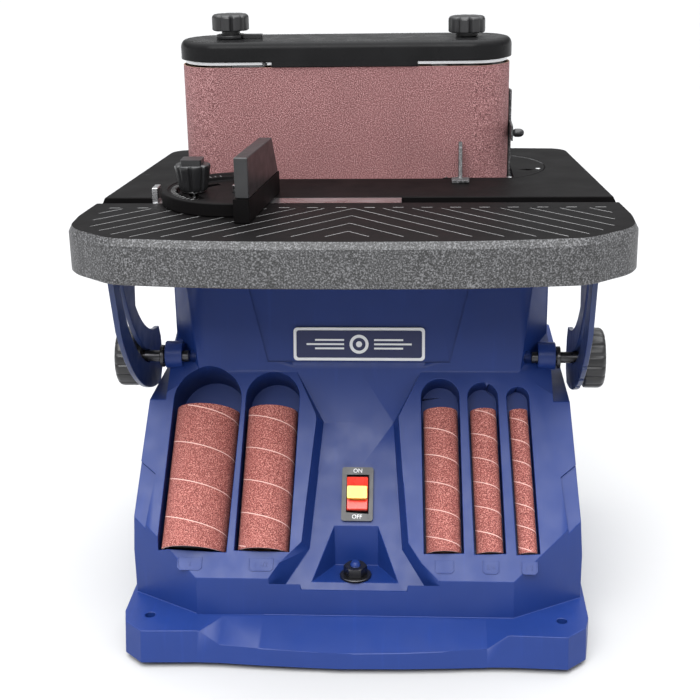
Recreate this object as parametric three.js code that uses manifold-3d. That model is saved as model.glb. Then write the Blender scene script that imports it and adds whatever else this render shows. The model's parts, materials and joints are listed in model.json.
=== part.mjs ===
// Benchtop oscillating belt and spindle sander, built as separate named solids.
// Millimetres, +Z up, +X to the operator's right, the operator stands on the -Y side.
// Origin: on the surface the machine stands on, below the centre of its bounding box.

import * as THREE from 'three';
import { mergeVertices } from 'three/addons/utils/BufferGeometryUtils.js';
import Module from 'manifold-3d';

const wasm = await Module();
wasm.setup();

// ---------------------------------------------------------------- driving dimensions

const GAP = 0.3;                       // between touching pieces

// Table
const TABLE_TOP = 330;
const TABLE_UNDER = 324;
const SKIRT_BOTTOM = 297;
const SKIRT_WALL = 5;
const TABLE_FRONT = -184;
const TABLE_BACK = 162;
const TABLE_HALF = 204;
const TABLE_HALF_BACK = 178;
const TABLE_WIDEST_Y = -103;
const TILT_PIVOT_Y = 21;               // virtual pivot, level with the table's top
const SLOT_FRONT = -63;                // mitre slot
const SLOT_BACK = -43.5;
const SLOT_FLOOR = 320.5;

// Sanding belt and its drums
const BELT_FRONT = 30;
const BELT_X = -13;
const BELT_LENGTH = 268;
const BELT_DEPTH = 65;
const BELT_BOTTOM = 318;
const BELT_TOP = 419.6;
const BELT_THICK = 1.2;
const BELT_Y = BELT_FRONT + BELT_DEPTH / 2;
const DRUM_R = BELT_DEPTH / 2 - BELT_THICK - GAP;
const SPINDLE_X = BELT_X + (BELT_LENGTH - BELT_DEPTH) / 2;
const IDLER_X = BELT_X - (BELT_LENGTH - BELT_DEPTH) / 2;
const SHAFT_R = 8;

// Housing
const HOUSING_BOTTOM = 4;
const PLINTH_TOP = 28;
const BASE_TOP = 7.5;                                 // steel base plate
const DECK = 286;
const BODY_BACK = 140;
const PLINTH_BACK = 150;
const PLINTH_FRONT = -184;                            // at its top, on the centre line
const PLINTH_DRAFT = 6;                               // its front leans out by this much at the foot
const WALL = 4;
const SLOPE_ANGLE = THREE.MathUtils.degToRad(39.3);   // front slope, from the vertical
const SLOPE_Y = -153.1;                               // its lower edge
const SLOPE_Z = 58.7;
const SLOPE_LENGTH = 167;
const NECK_ANGLE = THREE.MathUtils.degToRad(12);      // neck above the slope
const CHANNEL_DEPTH = 16;
const RECESS_Z = 49.6;

// Tilt trunnions
const TRUNNION_IN = 171;
const TRUNNION_OUT = 175;
const STUD_Y = -38;
const STUD_Z = 198;
const STUD_R = 4.5;
const KNOB_OUT = 194.8;

// Mitre gauge
const GAUGE_X = -90;
const GAUGE_Y = (SLOT_FRONT + SLOT_BACK) / 2;
const GAUGE_SWIVEL = THREE.MathUtils.degToRad(-6);
const GAUGE_KNOB_R = 34;

// Stored sleeves: outer diameter, centre across the slope, how far the crown stands proud,
// and the pocket's upper end along the slope
const SLEEVE_LENGTH = 114.3;
const POCKET_FLOOR_V = 21.3;
const POCKET_MIDDLE_V = 96;
const POCKET_FAN = THREE.MathUtils.degToRad(2.6) / 126;
const SLEEVES = [
  { name: 'sleeve_2in', od: 51, x: -122.4, proud: 12, top: 171 },
  { name: 'sleeve_1_5in', od: 39.6, x: -69.3, proud: 9, top: 167 },
  { name: 'sleeve_1in', od: 27, x: 66.4, proud: 5.5, top: 162 },
  { name: 'sleeve_0_75in', od: 20.6, x: 100.6, proud: 4, top: 159 },
  { name: 'sleeve_0_5in', od: 14.4, x: 128.7, proud: 2.5, top: 155.5 },
];

// ---------------------------------------------------------------- materials

function finish(color, roughness, metalness = 0) {
  return new THREE.MeshStandardMaterial({ color, roughness, metalness });
}
const BLUE = finish(0x24418f, 0.5);
const BLUE_STEEL = finish(0x22356f, 0.4, 0.3);
const BLACK_COAT = finish(0x232325, 0.6, 0.2);
const BLACK_PLASTIC = finish(0x151517, 0.4);
const STEEL = finish(0xb4b6b8, 0.3, 0.9);
const DARK_STEEL = finish(0x55585c, 0.4, 0.8);
const ALUMINIUM = finish(0x9a9da0, 0.45, 0.8);
const ABRASIVE = finish(0x6d3a38, 0.95);
const RED_ABRASIVE = finish(0x93453c, 0.95);
const RUBBER = finish(0x1b1b1b, 0.85);
const WHITE = finish(0xe8e8e8, 0.5);
const RED = finish(0xc8281e, 0.35);
const YELLOW = finish(0xf0d21e, 0.35);

// ---------------------------------------------------------------- shape helpers

const model = new THREE.Group();

/** Closed three.js geometry to a manifold solid. */
function solid(geometry) {
  const bare = geometry.clone();
  bare.deleteAttribute('normal');
  bare.deleteAttribute('uv');
  const merged = mergeVertices(bare.index ? bare.toNonIndexed() : bare, 1e-4);
  return new wasm.Manifold(new wasm.Mesh({
    numProp: 3,
    vertProperties: new Float32Array(merged.attributes.position.array),
    triVerts: new Uint32Array(merged.index.array),
  }));
}

/** Manifold solid back to a three.js geometry. */
function geometryOf(body) {
  const mesh = body.getMesh();
  const geometry = new THREE.BufferGeometry();
  geometry.setAttribute('position', new THREE.BufferAttribute(new Float32Array(mesh.vertProperties), 3));
  geometry.setIndex(new THREE.BufferAttribute(new Uint32Array(mesh.triVerts), 1));
  return geometry;
}

/** Adds one named piece, from a manifold solid or a geometry, with an optional placing matrix. */
function piece(name, shape, material, matrix = null) {
  const geometry = shape.isBufferGeometry ? shape : geometryOf(shape);
  const mesh = new THREE.Mesh(geometry, material);
  mesh.name = name;
  if (matrix) matrix.decompose(mesh.position, mesh.quaternion, mesh.scale);
  model.add(mesh);
  return mesh;
}

function joined(...bodies) {
  return bodies.reduce((sum, body) => sum.add(body));
}

function cut(body, ...tools) {
  return tools.reduce((rest, tool) => rest.subtract(tool), body);
}

/** Matrix whose local x, y and z axes run along the three given directions. */
function basis(x, y, z, origin = [0, 0, 0]) {
  const matrix = new THREE.Matrix4().makeBasis(
    new THREE.Vector3(...x), new THREE.Vector3(...y), new THREE.Vector3(...z));
  return matrix.setPosition(...origin);
}

function placed(geometry, matrix) {
  return solid(geometry.clone().applyMatrix4(matrix));
}

/** Outline from corner points; a corner given as [x, y, r] is rounded with radius r. */
function outline(corners) {
  const shape = new THREE.Shape();
  const count = corners.length;
  corners.forEach(([x, y, r = 0], i) => {
    const here = new THREE.Vector2(x, y);
    const last = new THREE.Vector2(...corners[(i + count - 1) % count].slice(0, 2));
    const next = new THREE.Vector2(...corners[(i + 1) % count].slice(0, 2));
    const toLast = last.sub(here).normalize();
    const toNext = next.sub(here).normalize();
    const half = Math.acos(THREE.MathUtils.clamp(toLast.dot(toNext), -1, 1)) / 2;
    const back = r > 0 ? r / Math.tan(half) : 0;
    const start = here.clone().addScaledVector(toLast, back);
    if (i === 0) shape.moveTo(start.x, start.y);
    else shape.lineTo(start.x, start.y);
    if (r > 0) {
      const middle = toLast.clone().add(toNext).normalize();
      const centre = here.clone().addScaledVector(middle, r / Math.sin(half));
      const end = here.clone().addScaledVector(toNext, back);
      const a0 = Math.atan2(start.y - centre.y, start.x - centre.x);
      const a1 = Math.atan2(end.y - centre.y, end.x - centre.x);
      const turn = Math.atan2(Math.sin(a1 - a0), Math.cos(a1 - a0));
      const steps = Math.max(2, Math.ceil(Math.abs(turn) / THREE.MathUtils.degToRad(15)));
      for (let k = 1; k <= steps; k += 1) {
        const a = a0 + (turn * k) / steps;
        shape.lineTo(centre.x + r * Math.cos(a), centre.y + r * Math.sin(a));
      }
    }
  });
  shape.closePath();
  return shape;
}

/** Whole outline from its right half; a corner on the centre line isn't repeated. */
function mirrored(half) {
  const other = half.filter(([x]) => x !== 0).map(([x, y, r = 0]) => [-x, y, r]).reverse();
  return [...half, ...other];
}

function extrude(shape, depth) {
  return new THREE.ExtrudeGeometry(shape, { depth, bevelEnabled: false, curveSegments: 12 });
}

/** Outline in X and Y, from z0 up to z1. */
function alongZ(corners, z0, z1) {
  return placed(extrude(outline(corners), z1 - z0), new THREE.Matrix4().makeTranslation(0, 0, z0));
}

/** Outline in Y and Z, from x0 to x1. */
function alongX(corners, x0, x1) {
  return placed(extrude(outline(corners), x1 - x0), basis([0, 1, 0], [0, 0, 1], [1, 0, 0], [x0, 0, 0]));
}

/** Outline in X and Z, from y0 back to y1. */
function alongY(corners, y0, y1) {
  return placed(extrude(outline(corners), y1 - y0), basis([1, 0, 0], [0, 0, 1], [0, -1, 0], [0, y1, 0]));
}

function box(x0, x1, y0, y1, z0, z1) {
  const geometry = new THREE.BoxGeometry(x1 - x0, y1 - y0, z1 - z0);
  return solid(geometry.translate((x0 + x1) / 2, (y0 + y1) / 2, (z0 + z1) / 2));
}

/** Turned solid. The profile holds [radius, height] pairs and starts and ends on the axis. */
function turned(profile, segments = 20) {
  const points = profile.map(([r, h]) => new THREE.Vector2(Math.max(r, 0), h));
  return new THREE.LatheGeometry(points, segments).rotateX(Math.PI / 2);
}

/** Turned ring with a through bore: the profile closes on itself. */
function ring(inner, outer, h0, h1, segments = 20) {
  return turned([[inner, h0], [outer, h0], [outer, h1], [inner, h1], [inner, h0]], segments);
}

function rod(radius, h0, h1, segments = 20) {
  return turned([[0, h0], [radius, h0], [radius, h1], [0, h1]], segments);
}

function upright(x, y) {
  return new THREE.Matrix4().makeTranslation(x, y, 0);
}

/** A turned solid's own axis is laid along the given world direction. */
function axisTo(direction, origin) {
  const z = new THREE.Vector3(...direction).normalize();
  const helper = Math.abs(z.z) > 0.9 ? new THREE.Vector3(1, 0, 0) : new THREE.Vector3(0, 0, 1);
  const x = new THREE.Vector3().crossVectors(helper, z).normalize();
  const y = new THREE.Vector3().crossVectors(z, x);
  return new THREE.Matrix4().makeBasis(x, y, z).setPosition(...origin);
}

/** Closed solid between two outlines with the same number of corners. */
function loft(low, lowZ, high, highZ) {
  const count = low.length;
  const points = [...low.map(([x, y]) => [x, y, lowZ]), ...high.map(([x, y]) => [x, y, highZ])];
  const index = [];
  const cap = (corners) => THREE.ShapeUtils.triangulateShape(
    corners.map(([x, y]) => new THREE.Vector2(x, y)), []);
  cap(low).forEach(([a, b, c]) => index.push(a, c, b));
  cap(high).forEach(([a, b, c]) => index.push(count + a, count + b, count + c));
  for (let i = 0; i < count; i += 1) {
    const j = (i + 1) % count;
    index.push(i, j, count + j, i, count + j, count + i);
  }
  const geometry = new THREE.BufferGeometry();
  geometry.setAttribute('position', new THREE.Float32BufferAttribute(points.flat(), 3));
  geometry.setIndex(index);
  return geometry;
}

function arc(cx, cy, r, from, to, steps) {
  const points = [];
  for (let i = 0; i <= steps; i += 1) {
    const a = THREE.MathUtils.degToRad(from + ((to - from) * i) / steps);
    points.push([cx + r * Math.cos(a), cy + r * Math.sin(a)]);
  }
  return points;
}

/** Race-track outline around both drums, at a distance r from their axes. */
function raceTrack(r, steps = 16) {
  return [...arc(SPINDLE_X, BELT_Y, r, -90, 90, steps), ...arc(IDLER_X, BELT_Y, r, 90, 270, steps)];
}

// Frame of the front slope: x across, y up along the slope, z out of its face
const SIN = Math.sin(SLOPE_ANGLE);
const COS = Math.cos(SLOPE_ANGLE);
const SLOPE = basis([1, 0, 0], [0, SIN, COS], [0, -COS, SIN], [0, SLOPE_Y, SLOPE_Z]);

function slopeSolid(geometry) {
  return placed(geometry, SLOPE);
}

/** Y of the slope's face at height z, moved inwards by a depth at right angles to it. */
function slopeY(z, depth = 0) {
  return SLOPE_Y + (z - SLOPE_Z) * Math.tan(SLOPE_ANGLE) + depth / COS;
}

const SLOPE_TOP_Z = SLOPE_Z + SLOPE_LENGTH * COS;
const SLOPE_TOP_Y = slopeY(SLOPE_TOP_Z);
const NECK_SIN = Math.sin(NECK_ANGLE);
const NECK_COS = Math.cos(NECK_ANGLE);
const NECK = basis([1, 0, 0], [0, NECK_SIN, NECK_COS], [0, -NECK_COS, NECK_SIN],
  [0, SLOPE_TOP_Y, SLOPE_TOP_Z]);

function neckY(z) {
  return SLOPE_TOP_Y + (z - SLOPE_TOP_Z) * Math.tan(NECK_ANGLE);
}

// ---------------------------------------------------------------- housing

const POCKET_SPARE = 1.6;

function pocketFrame(sleeve) {
  const fan = new THREE.Matrix4().makeRotationZ(sleeve.x * POCKET_FAN);
  const middle = new THREE.Matrix4().makeTranslation(sleeve.x, POCKET_MIDDLE_V, 0);
  return SLOPE.clone().multiply(middle).multiply(fan);
}

/** The pocket's outline about the middle of its length, with an arched upper end. */
function pocketOutline(sleeve, grow = 0) {
  const half = sleeve.od / 2 + POCKET_SPARE + grow;
  const low = POCKET_FLOOR_V - POCKET_MIDDLE_V - grow;
  const spring = sleeve.top - POCKET_MIDDLE_V + grow - half;
  return [[-half, low], [half, low], ...arc(0, spring, half, 0, 180, 14)];
}

function pocket(sleeve, grow = 0) {
  const depth = sleeve.od - sleeve.proud + POCKET_SPARE + grow;
  const geometry = extrude(new THREE.Shape(pocketOutline(sleeve, grow)
    .map(([x, y]) => new THREE.Vector2(x, y))), depth + 30);
  return placed(geometry.translate(0, 0, -depth), pocketFrame(sleeve));
}

function bodyShell() {
  const neckTopZ = 256;
  const side = alongX([
    [BODY_BACK, 20], [BODY_BACK, DECK, 6], [neckY(neckTopZ) + DECK - neckTopZ, DECK],
    [neckY(neckTopZ), neckTopZ], [SLOPE_TOP_Y, SLOPE_TOP_Z], [SLOPE_Y, SLOPE_Z], [SLOPE_Y, 20],
  ].reverse(), -190, 190);
  const lowPlan = alongZ(mirrored([
    [121, SLOPE_Y], [175, -119.6], [176.5, BODY_BACK - 14], [162, BODY_BACK],
  ]), 20, 169.6);
  const front = alongY(mirrored([[178, 19], [174.5, 72.9], [167.2, 169.7]]), -200, BODY_BACK + 1);
  const podTop = alongZ(mirrored([
    [155, -90], [153.5, -24], [150, 0], [150, BODY_BACK - 14], [136, BODY_BACK],
  ]), 150, DECK);
  return side.intersect(joined(lowPlan.intersect(front), podTop));
}

/** Chamfer of the neck's front corner, which ends in a slanting facet above the slope. */
function neckCorner(side) {
  const wedge = alongZ(side > 0
    ? [[128, -48], [158, -60], [158, -8], [150.2, -14]]
    : [[-128, -48], [-150.2, -14], [-158, -8], [-158, -60]], 150, DECK + 5);
  const facet = new THREE.Vector3(side * 0.25, -0.62, 0.74).normalize();
  const above = new THREE.BoxGeometry(160, 160, 160).translate(0, 0, 80);
  return wedge.intersect(placed(above, axisTo(facet.toArray(), [side * 127, -47, 190])));
}

/** Sunken channel between the two pods: it starts in a ramp and opens out at its foot. */
function channel() {
  const top = [
    [-66, -1], [66, -1], [41, 29], [32.5, 130],
    [49.5, SLOPE_LENGTH], [-49.5, SLOPE_LENGTH], [-32.5, 130], [-41, 29],
  ];
  const floor = [
    [-62, -14], [62, -14], [36, 27], [28, 129], [28.2, 130], [-28.2, 130], [-28, 129], [-36, 27],
  ];
  const raised = top.map(([x, y], i) => [x + (x - floor[i][0]) * 0.5, y + (y - floor[i][1]) * 0.5]);
  return slopeSolid(loft(floor, -CHANNEL_DEPTH, raised, CHANNEL_DEPTH / 2));
}

/** Level shelf at the foot of the channel, under the storage stud. */
function shelfRecess() {
  return alongZ([[-46, -162], [46, -162], [17, -112], [-17, -112]], RECESS_Z, 120)
    .intersect(alongX([
      [-170, RECESS_Z], [-111, RECESS_Z], [slopeY(87, CHANNEL_DEPTH) + 1, 87], [-170, 87],
    ], -60, 60));
}

/** Shallow angular panels pressed into the outer sides of both pods. */
function sidePanels() {
  return [-1, 1].map((side) => {
    const corners = [[158, 82], [180, 100], [180, 20], [163, 38]].map(([x, v]) => [side * x, v]);
    if (side < 0) corners.reverse();
    const geometry = extrude(new THREE.Shape(corners.map(([x, y]) => new THREE.Vector2(x, y)).reverse()), 20);
    return slopeSolid(geometry.translate(0, 0, -2.5));
  });
}

/** Foot of the housing: its front bulges slightly and leans out towards the bench. */
function plinth() {
  const front = [
    [0, PLINTH_FRONT], [38, -183], [72, -181], [100, -178.6], [118, -178.2], [160, -179.8], [174.6, -165.3],
  ];
  const rear = [[178, -150], [178, PLINTH_BACK - 16], [162, PLINTH_BACK]];
  const foot = front.map(([x, y]) => [x, y - PLINTH_DRAFT]);
  const low = mirrored([...foot, ...rear]);
  const high = mirrored([...front, ...rear]);
  return solid(loft(low, HOUSING_BOTTOM, high, PLINTH_TOP)).subtract(plinthBevel());
}

/** Sloping band across the plinth's front, closed by a slanting facet at each end. */
function plinthBevel() {
  const fall = 0.4;
  const spread = 14.5 / 21;
  const edgeY = -156;
  const over = 0.5;
  const ahead = -200;
  const half = 100.5;
  const topY = edgeY + over / fall;
  const corners = [-1, 1].flatMap((side) => [
    [side * half, topY, PLINTH_TOP + over],
    [side * (half + (topY - ahead) * spread), ahead, PLINTH_TOP + over],
    [side * half, ahead, PLINTH_TOP + (ahead - edgeY) * fall],
  ]);
  return wasm.Manifold.hull(corners);
}

const BENCH_HOLES = [[157.4, -155.8], [-157.4, -155.8], [160, 118], [-160, 118]];
const SWITCH_V = 70.4;
const SWITCH_X = 0.6;
const DUST_X = -13;
const DUST_Z = 190;
const PORT_LENGTH = 49.7;
const GLAND_X = 96;
const GLAND_Z = 48;
const VENT = { x: 96, z: 118, w: 84, h: 62 };
const STORAGE_Y = -130;
const BADGE_RECESS = 1.5;

function cavity() {
  const inside = CHANNEL_DEPTH + WALL;
  const profile = alongX([
    [slopeY(10, inside), 0], [slopeY(10, inside), 10], [slopeY(160, inside), 160],
    [neckY(215) + WALL + 1, 206], [neckY(250) + WALL + 1, 246], [-1 + WALL, 280],
    [BODY_BACK - WALL, 280], [BODY_BACK - WALL, 0],
  ].reverse(), -172, 172);
  const plan = alongZ(mirrored([
    [119, SLOPE_Y + WALL], [171, -116.5], [171, BODY_BACK - 16], [159, BODY_BACK - WALL],
  ]), -1, 170);
  const low = alongY(mirrored([[171, -1], [170, 72], [163, 166]]), -180, 170).intersect(plan);
  const high = alongZ(mirrored([
    [121, -60], [121, -40], [145, -6], [145, BODY_BACK - 16], [133, BODY_BACK - WALL],
  ]), 140, 281);
  const pockets = SLEEVES.map((sleeve) => pocket(sleeve, WALL));
  const shelf = box(-52, 52, -165, -107, 20, RECESS_Z + 40);
  const posts = [box(138, 180, 106, 150, -2, 18), box(-180, -138, 106, 150, -2, 18)];
  return cut(profile.intersect(joined(low, high)), ...pockets, shelf, ...posts);
}

function housing() {
  let body = cut(bodyShell(), channel(), shelfRecess(), neckCorner(1), neckCorner(-1), ...sidePanels());
  const panel = [[-73, 8], [73, 8], [89, 72], [-89, 72]];
  body = cut(body, placed(loft(panel, -BADGE_RECESS, panel, 20), NECK));
  body = joined(body, plinth());
  [-1, 1].forEach((side) => {
    const boss = placed(rod(11, 0, 14, 20), axisTo([side, 0, 0], [side * 143, STUD_Y + 4, STUD_Z]));
    body = body.add(boss);
  });
  body = cut(body, ...SLEEVES.map((sleeve) => pocket(sleeve)), cavity());
  BENCH_HOLES.forEach(([x, y]) => {
    body = body.subtract(placed(rod(4, 0, 40, 16), upright(x, y)));
  });
  [-1, 1].forEach((side) => {
    const hole = rod(STUD_R + GAP, -10, 30, 16);
    body = body.subtract(placed(hole, axisTo([side, 0, 0], [side * 140, STUD_Y, STUD_Z])));
  });
  const deckWindow = alongZ([[-158, 22, 8], [132, 22, 8], [132, 108, 8], [-158, 108, 8]], 270, 300);
  const switchCut = new THREE.BoxGeometry(18, 35, 30).translate(SWITCH_X, SWITCH_V, -CHANNEL_DEPTH);
  const dustHole = placed(rod(28, -20, 20, 32), axisTo([0, 1, 0], [DUST_X, BODY_BACK, DUST_Z]));
  const glandHole = placed(rod(6.3, -20, 20, 16), axisTo([0, 1, 0], [GLAND_X, BODY_BACK, GLAND_Z]));
  const ventHole = box(VENT.x - VENT.w / 2 + 6, VENT.x + VENT.w / 2 - 6, BODY_BACK - 10, BODY_BACK + 5,
    VENT.z - VENT.h / 2 + 6, VENT.z + VENT.h / 2 - 6);
  const studHole = placed(rod(4.4, 30, 60, 16), upright(0, STORAGE_Y));
  return cut(body, deckWindow, slopeSolid(switchCut), dustHole, glandHole, ventHole, studHole);
}

function makeHousing() {
  piece('housing', housing(), BLUE);
  const vents = [-110, -80, -50, -20].map((x) => box(x, x + 16, -70, 20, 0, 20));
  piece('base_plate', cut(box(-157, 157, -112, 104, 5, BASE_TOP), ...vents), STEEL);
  const corners = [[148, -148], [-148, -148], [148, 122], [-148, 122]];
  corners.forEach(([x, y], i) => {
    const top = HOUSING_BOTTOM - GAP;
    const foot = turned([[0, 0], [11, 0], [13, 1.5], [13, top], [0, top]], 16);
    piece(`rubber_foot_${i + 1}`, foot, RUBBER, upright(x, y));
  });
  const badge = extrude(outline([[-52, 9.5, 3], [53, 9.5, 3], [53, 36, 3], [-52, 36, 3]]), 1.6);
  piece('badge_plate', badge.translate(0, 0, GAP - BADGE_RECESS), WHITE, NECK);
}

// ---------------------------------------------------------------- switch and storage stud

function makeSwitch() {
  const floor = -CHANNEL_DEPTH;
  const origin = SLOPE.clone().multiply(new THREE.Matrix4().makeTranslation(SWITCH_X, SWITCH_V, floor));
  const frame = cut(
    solid(extrude(outline([[-12.3, -21.6, 2], [12.3, -21.6, 2], [12.3, 21.6, 2], [-12.3, 21.6, 2]]), 3)
      .translate(0, 0, GAP)),
    solid(new THREE.BoxGeometry(17.4, 31, 10)));
  piece('switch_bezel', frame, BLACK_PLASTIC, origin);
  piece('switch_body', new THREE.BoxGeometry(17, 34, 14).translate(0, 0, -16), BLACK_PLASTIC, origin);
  const rocker = extrude(new THREE.Shape([
    [-13, 2], [-12.5, 4], [-3, 3.6], [3, 4.4], [12.5, 7.6], [13, 6], [13, 0], [3, -6], [-3, -6], [-13, -2],
  ].map(([v, n]) => new THREE.Vector2(v, n))), 16.4);
  const rockerBody = placed(rocker, basis([0, 1, 0], [0, 0, 1], [1, 0, 0], [-8.2, 0, 0]));
  const keyway = solid(new THREE.BoxGeometry(10.6, 9.6, 8).translate(0, 0, 3));
  piece('switch_rocker', cut(rockerBody, keyway), RED, origin);
  const key = joined(
    solid(new THREE.BoxGeometry(10, 9, 6).translate(0, 0, 2.4)),
    solid(extrude(outline([[-7.8, -4.9, 1], [7.8, -4.9, 1], [7.8, 4.9, 1], [-7.8, 4.9, 1]]), 4.2)
      .translate(0, 0, 5.2)));
  piece('safety_key', key, YELLOW, origin);
}

function hexagon(acrossFlats) {
  const r = acrossFlats / Math.sqrt(3);
  return arc(0, 0, r, 0, 300, 5);
}

function makeStorageStud() {
  const place = upright(0, STORAGE_Y);
  const top = RECESS_Z + 13;
  piece('storage_stud', turned([[0, 34], [4, 34], [4, top - 2], [2.6, top], [0, top]], 20), BLUE, place);
  const washerTop = RECESS_Z + GAP + 2;
  piece('storage_washer', ring(4.4, 12.2, RECESS_Z + GAP, washerTop, 28), DARK_STEEL, place);
  const nut = cut(solid(extrude(new THREE.Shape(hexagon(16).map(([x, y]) => new THREE.Vector2(x, y))), 7)),
    solid(rod(4.4, -1, 9, 20)));
  piece('storage_nut', nut, DARK_STEEL, new THREE.Matrix4().makeTranslation(0, STORAGE_Y, washerTop + GAP));
}

// ---------------------------------------------------------------- fittings on the rear

function makeRearFittings() {
  const back = BODY_BACK + GAP;
  const port = turned([
    [27.4, -14], [27.4, 0], [40, 0], [40, 4], [31.5, 4], [31, PORT_LENGTH], [28.6, PORT_LENGTH],
    [25.4, -14], [27.4, -14],
  ], 32);
  piece('dust_port', port, BLACK_PLASTIC, axisTo([0, 1, 0], [DUST_X, back, DUST_Z]));
  const louvres = [];
  for (let i = 0; i < 6; i += 1) {
    const z = VENT.z - 24 + i * 9.4;
    louvres.push(box(VENT.x - 32, VENT.x + 32, back - 1, back + 5, z - 2, z + 2));
  }
  const cover = alongY([
    [VENT.x - VENT.w / 2, VENT.z - VENT.h / 2, 5], [VENT.x + VENT.w / 2, VENT.z - VENT.h / 2, 5],
    [VENT.x + VENT.w / 2, VENT.z + VENT.h / 2, 5], [VENT.x - VENT.w / 2, VENT.z + VENT.h / 2, 5],
  ], back, back + 3);
  piece('rear_vent_cover', cut(cover, ...louvres), BLACK_PLASTIC);
  const gland = turned([
    [3.8, -9], [6, -9], [6, 0], [9.5, 0], [9.5, 3], [7, 4.5], [5.4, 15], [3.8, 15], [3.8, -9],
  ], 20);
  piece('cord_gland', gland, BLACK_PLASTIC, axisTo([0, 1, 0], [GLAND_X, back, GLAND_Z]));
}

// ---------------------------------------------------------------- motor and gearbox

const CAN_BOTTOM = 26;
const CAN_TOP = 152;
const GEAR = { x0: -88, x1: 26, y0: 36, y1: 92, top: 168 };
const RODS_X = [-64, 6];
const WORM = { x: -29, z: 140, r: 24 };

function makeDrive() {
  const place = upright(SPINDLE_X, BELT_Y);
  const can = turned([
    [15, CAN_BOTTOM], [46, CAN_BOTTOM], [52, CAN_BOTTOM + 8], [52, CAN_TOP - 10], [40, CAN_TOP],
    [15, CAN_TOP], [15, CAN_BOTTOM],
  ], 36);
  piece('motor_can', can, DARK_STEEL, place);
  const legs = [[-48, -44], [40, -44], [-48, 36], [40, 36]].map(([dx, dy]) => (
    box(SPINDLE_X + dx, SPINDLE_X + dx + 8, BELT_Y + dy, BELT_Y + dy + 8, BASE_TOP + GAP, 20)));
  const plate = box(SPINDLE_X - 54, SPINDLE_X + 54, BELT_Y - 54, BELT_Y + 54, 19, CAN_BOTTOM - GAP);
  piece('motor_mount', cut(joined(plate, ...legs), placed(rod(15, 10, 40, 24), place)), STEEL);
  piece('motor_rotor', ring(SHAFT_R + 0.4, 14.4, 34, 182, 24), STEEL, place);

  const block = box(GEAR.x0, GEAR.x1, GEAR.y0, GEAR.y1, BASE_TOP + GAP, GEAR.top);
  const hollow = box(GEAR.x0 + 8, GEAR.x1 - 8, GEAR.y0 + 8, GEAR.y1 - 8, 0, GEAR.top - 26);
  const sockets = RODS_X.map((x) => placed(rod(5, GEAR.top - 16, GEAR.top + 2, 20), upright(x, BELT_Y)));
  const wormBore = placed(rod(6.4, -12, 12, 20), axisTo([0, 1, 0], [WORM.x, GEAR.y0, WORM.z]));
  piece('gearbox_housing', cut(block, hollow, ...sockets, wormBore), ALUMINIUM);
  const wheel = joined(
    solid(rod(WORM.r, 1, 9, 40)), solid(rod(6, -11, 1.5, 20)),
    solid(rod(3.5, 8, 16, 16).translate(0, 8, 0)));
  piece('worm_wheel', wheel, STEEL, axisTo([0, -1, 0], [WORM.x, GEAR.y0, WORM.z]));
  RODS_X.forEach((x, i) => {
    const guide = rod(4.7, GEAR.top - 16 + GAP, 284, 20);
    piece(`guide_rod_${i === 0 ? 'left' : 'right'}`, guide, STEEL, upright(x, BELT_Y));
  });
}

// ---------------------------------------------------------------- oscillating carriage and belt unit

const PLATE_LOW = 303;
const PLATE_TOP = 314;
const TUBE_BOTTOM = 198;
const BEARING_R = 17;

function makeCarriage() {
  const tube = placed(rod(23, TUBE_BOTTOM, PLATE_TOP, 32), upright(SPINDLE_X, BELT_Y));
  const deck = alongZ([
    [-148, BELT_FRONT + 4, 20], [118, BELT_FRONT + 4, 20],
    [118, BELT_FRONT + 61, 20], [-148, BELT_FRONT + 61, 20],
  ], PLATE_LOW, PLATE_TOP);
  const sleeves = RODS_X.map((x) => placed(rod(10, 236, PLATE_LOW + 1, 20), upright(x, BELT_Y)));
  const pillars = [-60, 24].map((x) => box(x, x + 12, BELT_Y - 8, BELT_Y + 8, PLATE_TOP - 1, 318.5));
  const bores = RODS_X.map((x) => placed(rod(5, 230, 308, 20), upright(x, BELT_Y)));
  const bore = placed(rod(SHAFT_R + 2, TUBE_BOTTOM - 1, PLATE_TOP + 1, 24), upright(SPINDLE_X, BELT_Y));
  const seats = [[TUBE_BOTTOM - 1, TUBE_BOTTOM + 14], [PLATE_TOP - 14, PLATE_TOP + 1]].map(([z0, z1]) => (
    placed(rod(BEARING_R + GAP, z0, z1, 32), upright(SPINDLE_X, BELT_Y))));
  piece('carriage', cut(joined(tube, deck, ...sleeves, ...pillars), bore, ...bores, ...seats), ALUMINIUM);
  const bearing = ring(SHAFT_R + GAP, BEARING_R, 0, 12, 28);
  piece('lower_bearing', bearing.clone(), STEEL, new THREE.Matrix4().makeTranslation(SPINDLE_X, BELT_Y, 199));
  piece('upper_bearing', bearing.clone(), STEEL,
    new THREE.Matrix4().makeTranslation(SPINDLE_X, BELT_Y, PLATE_TOP - 13));
}

const FRAME_TOP = 423.8;

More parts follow.
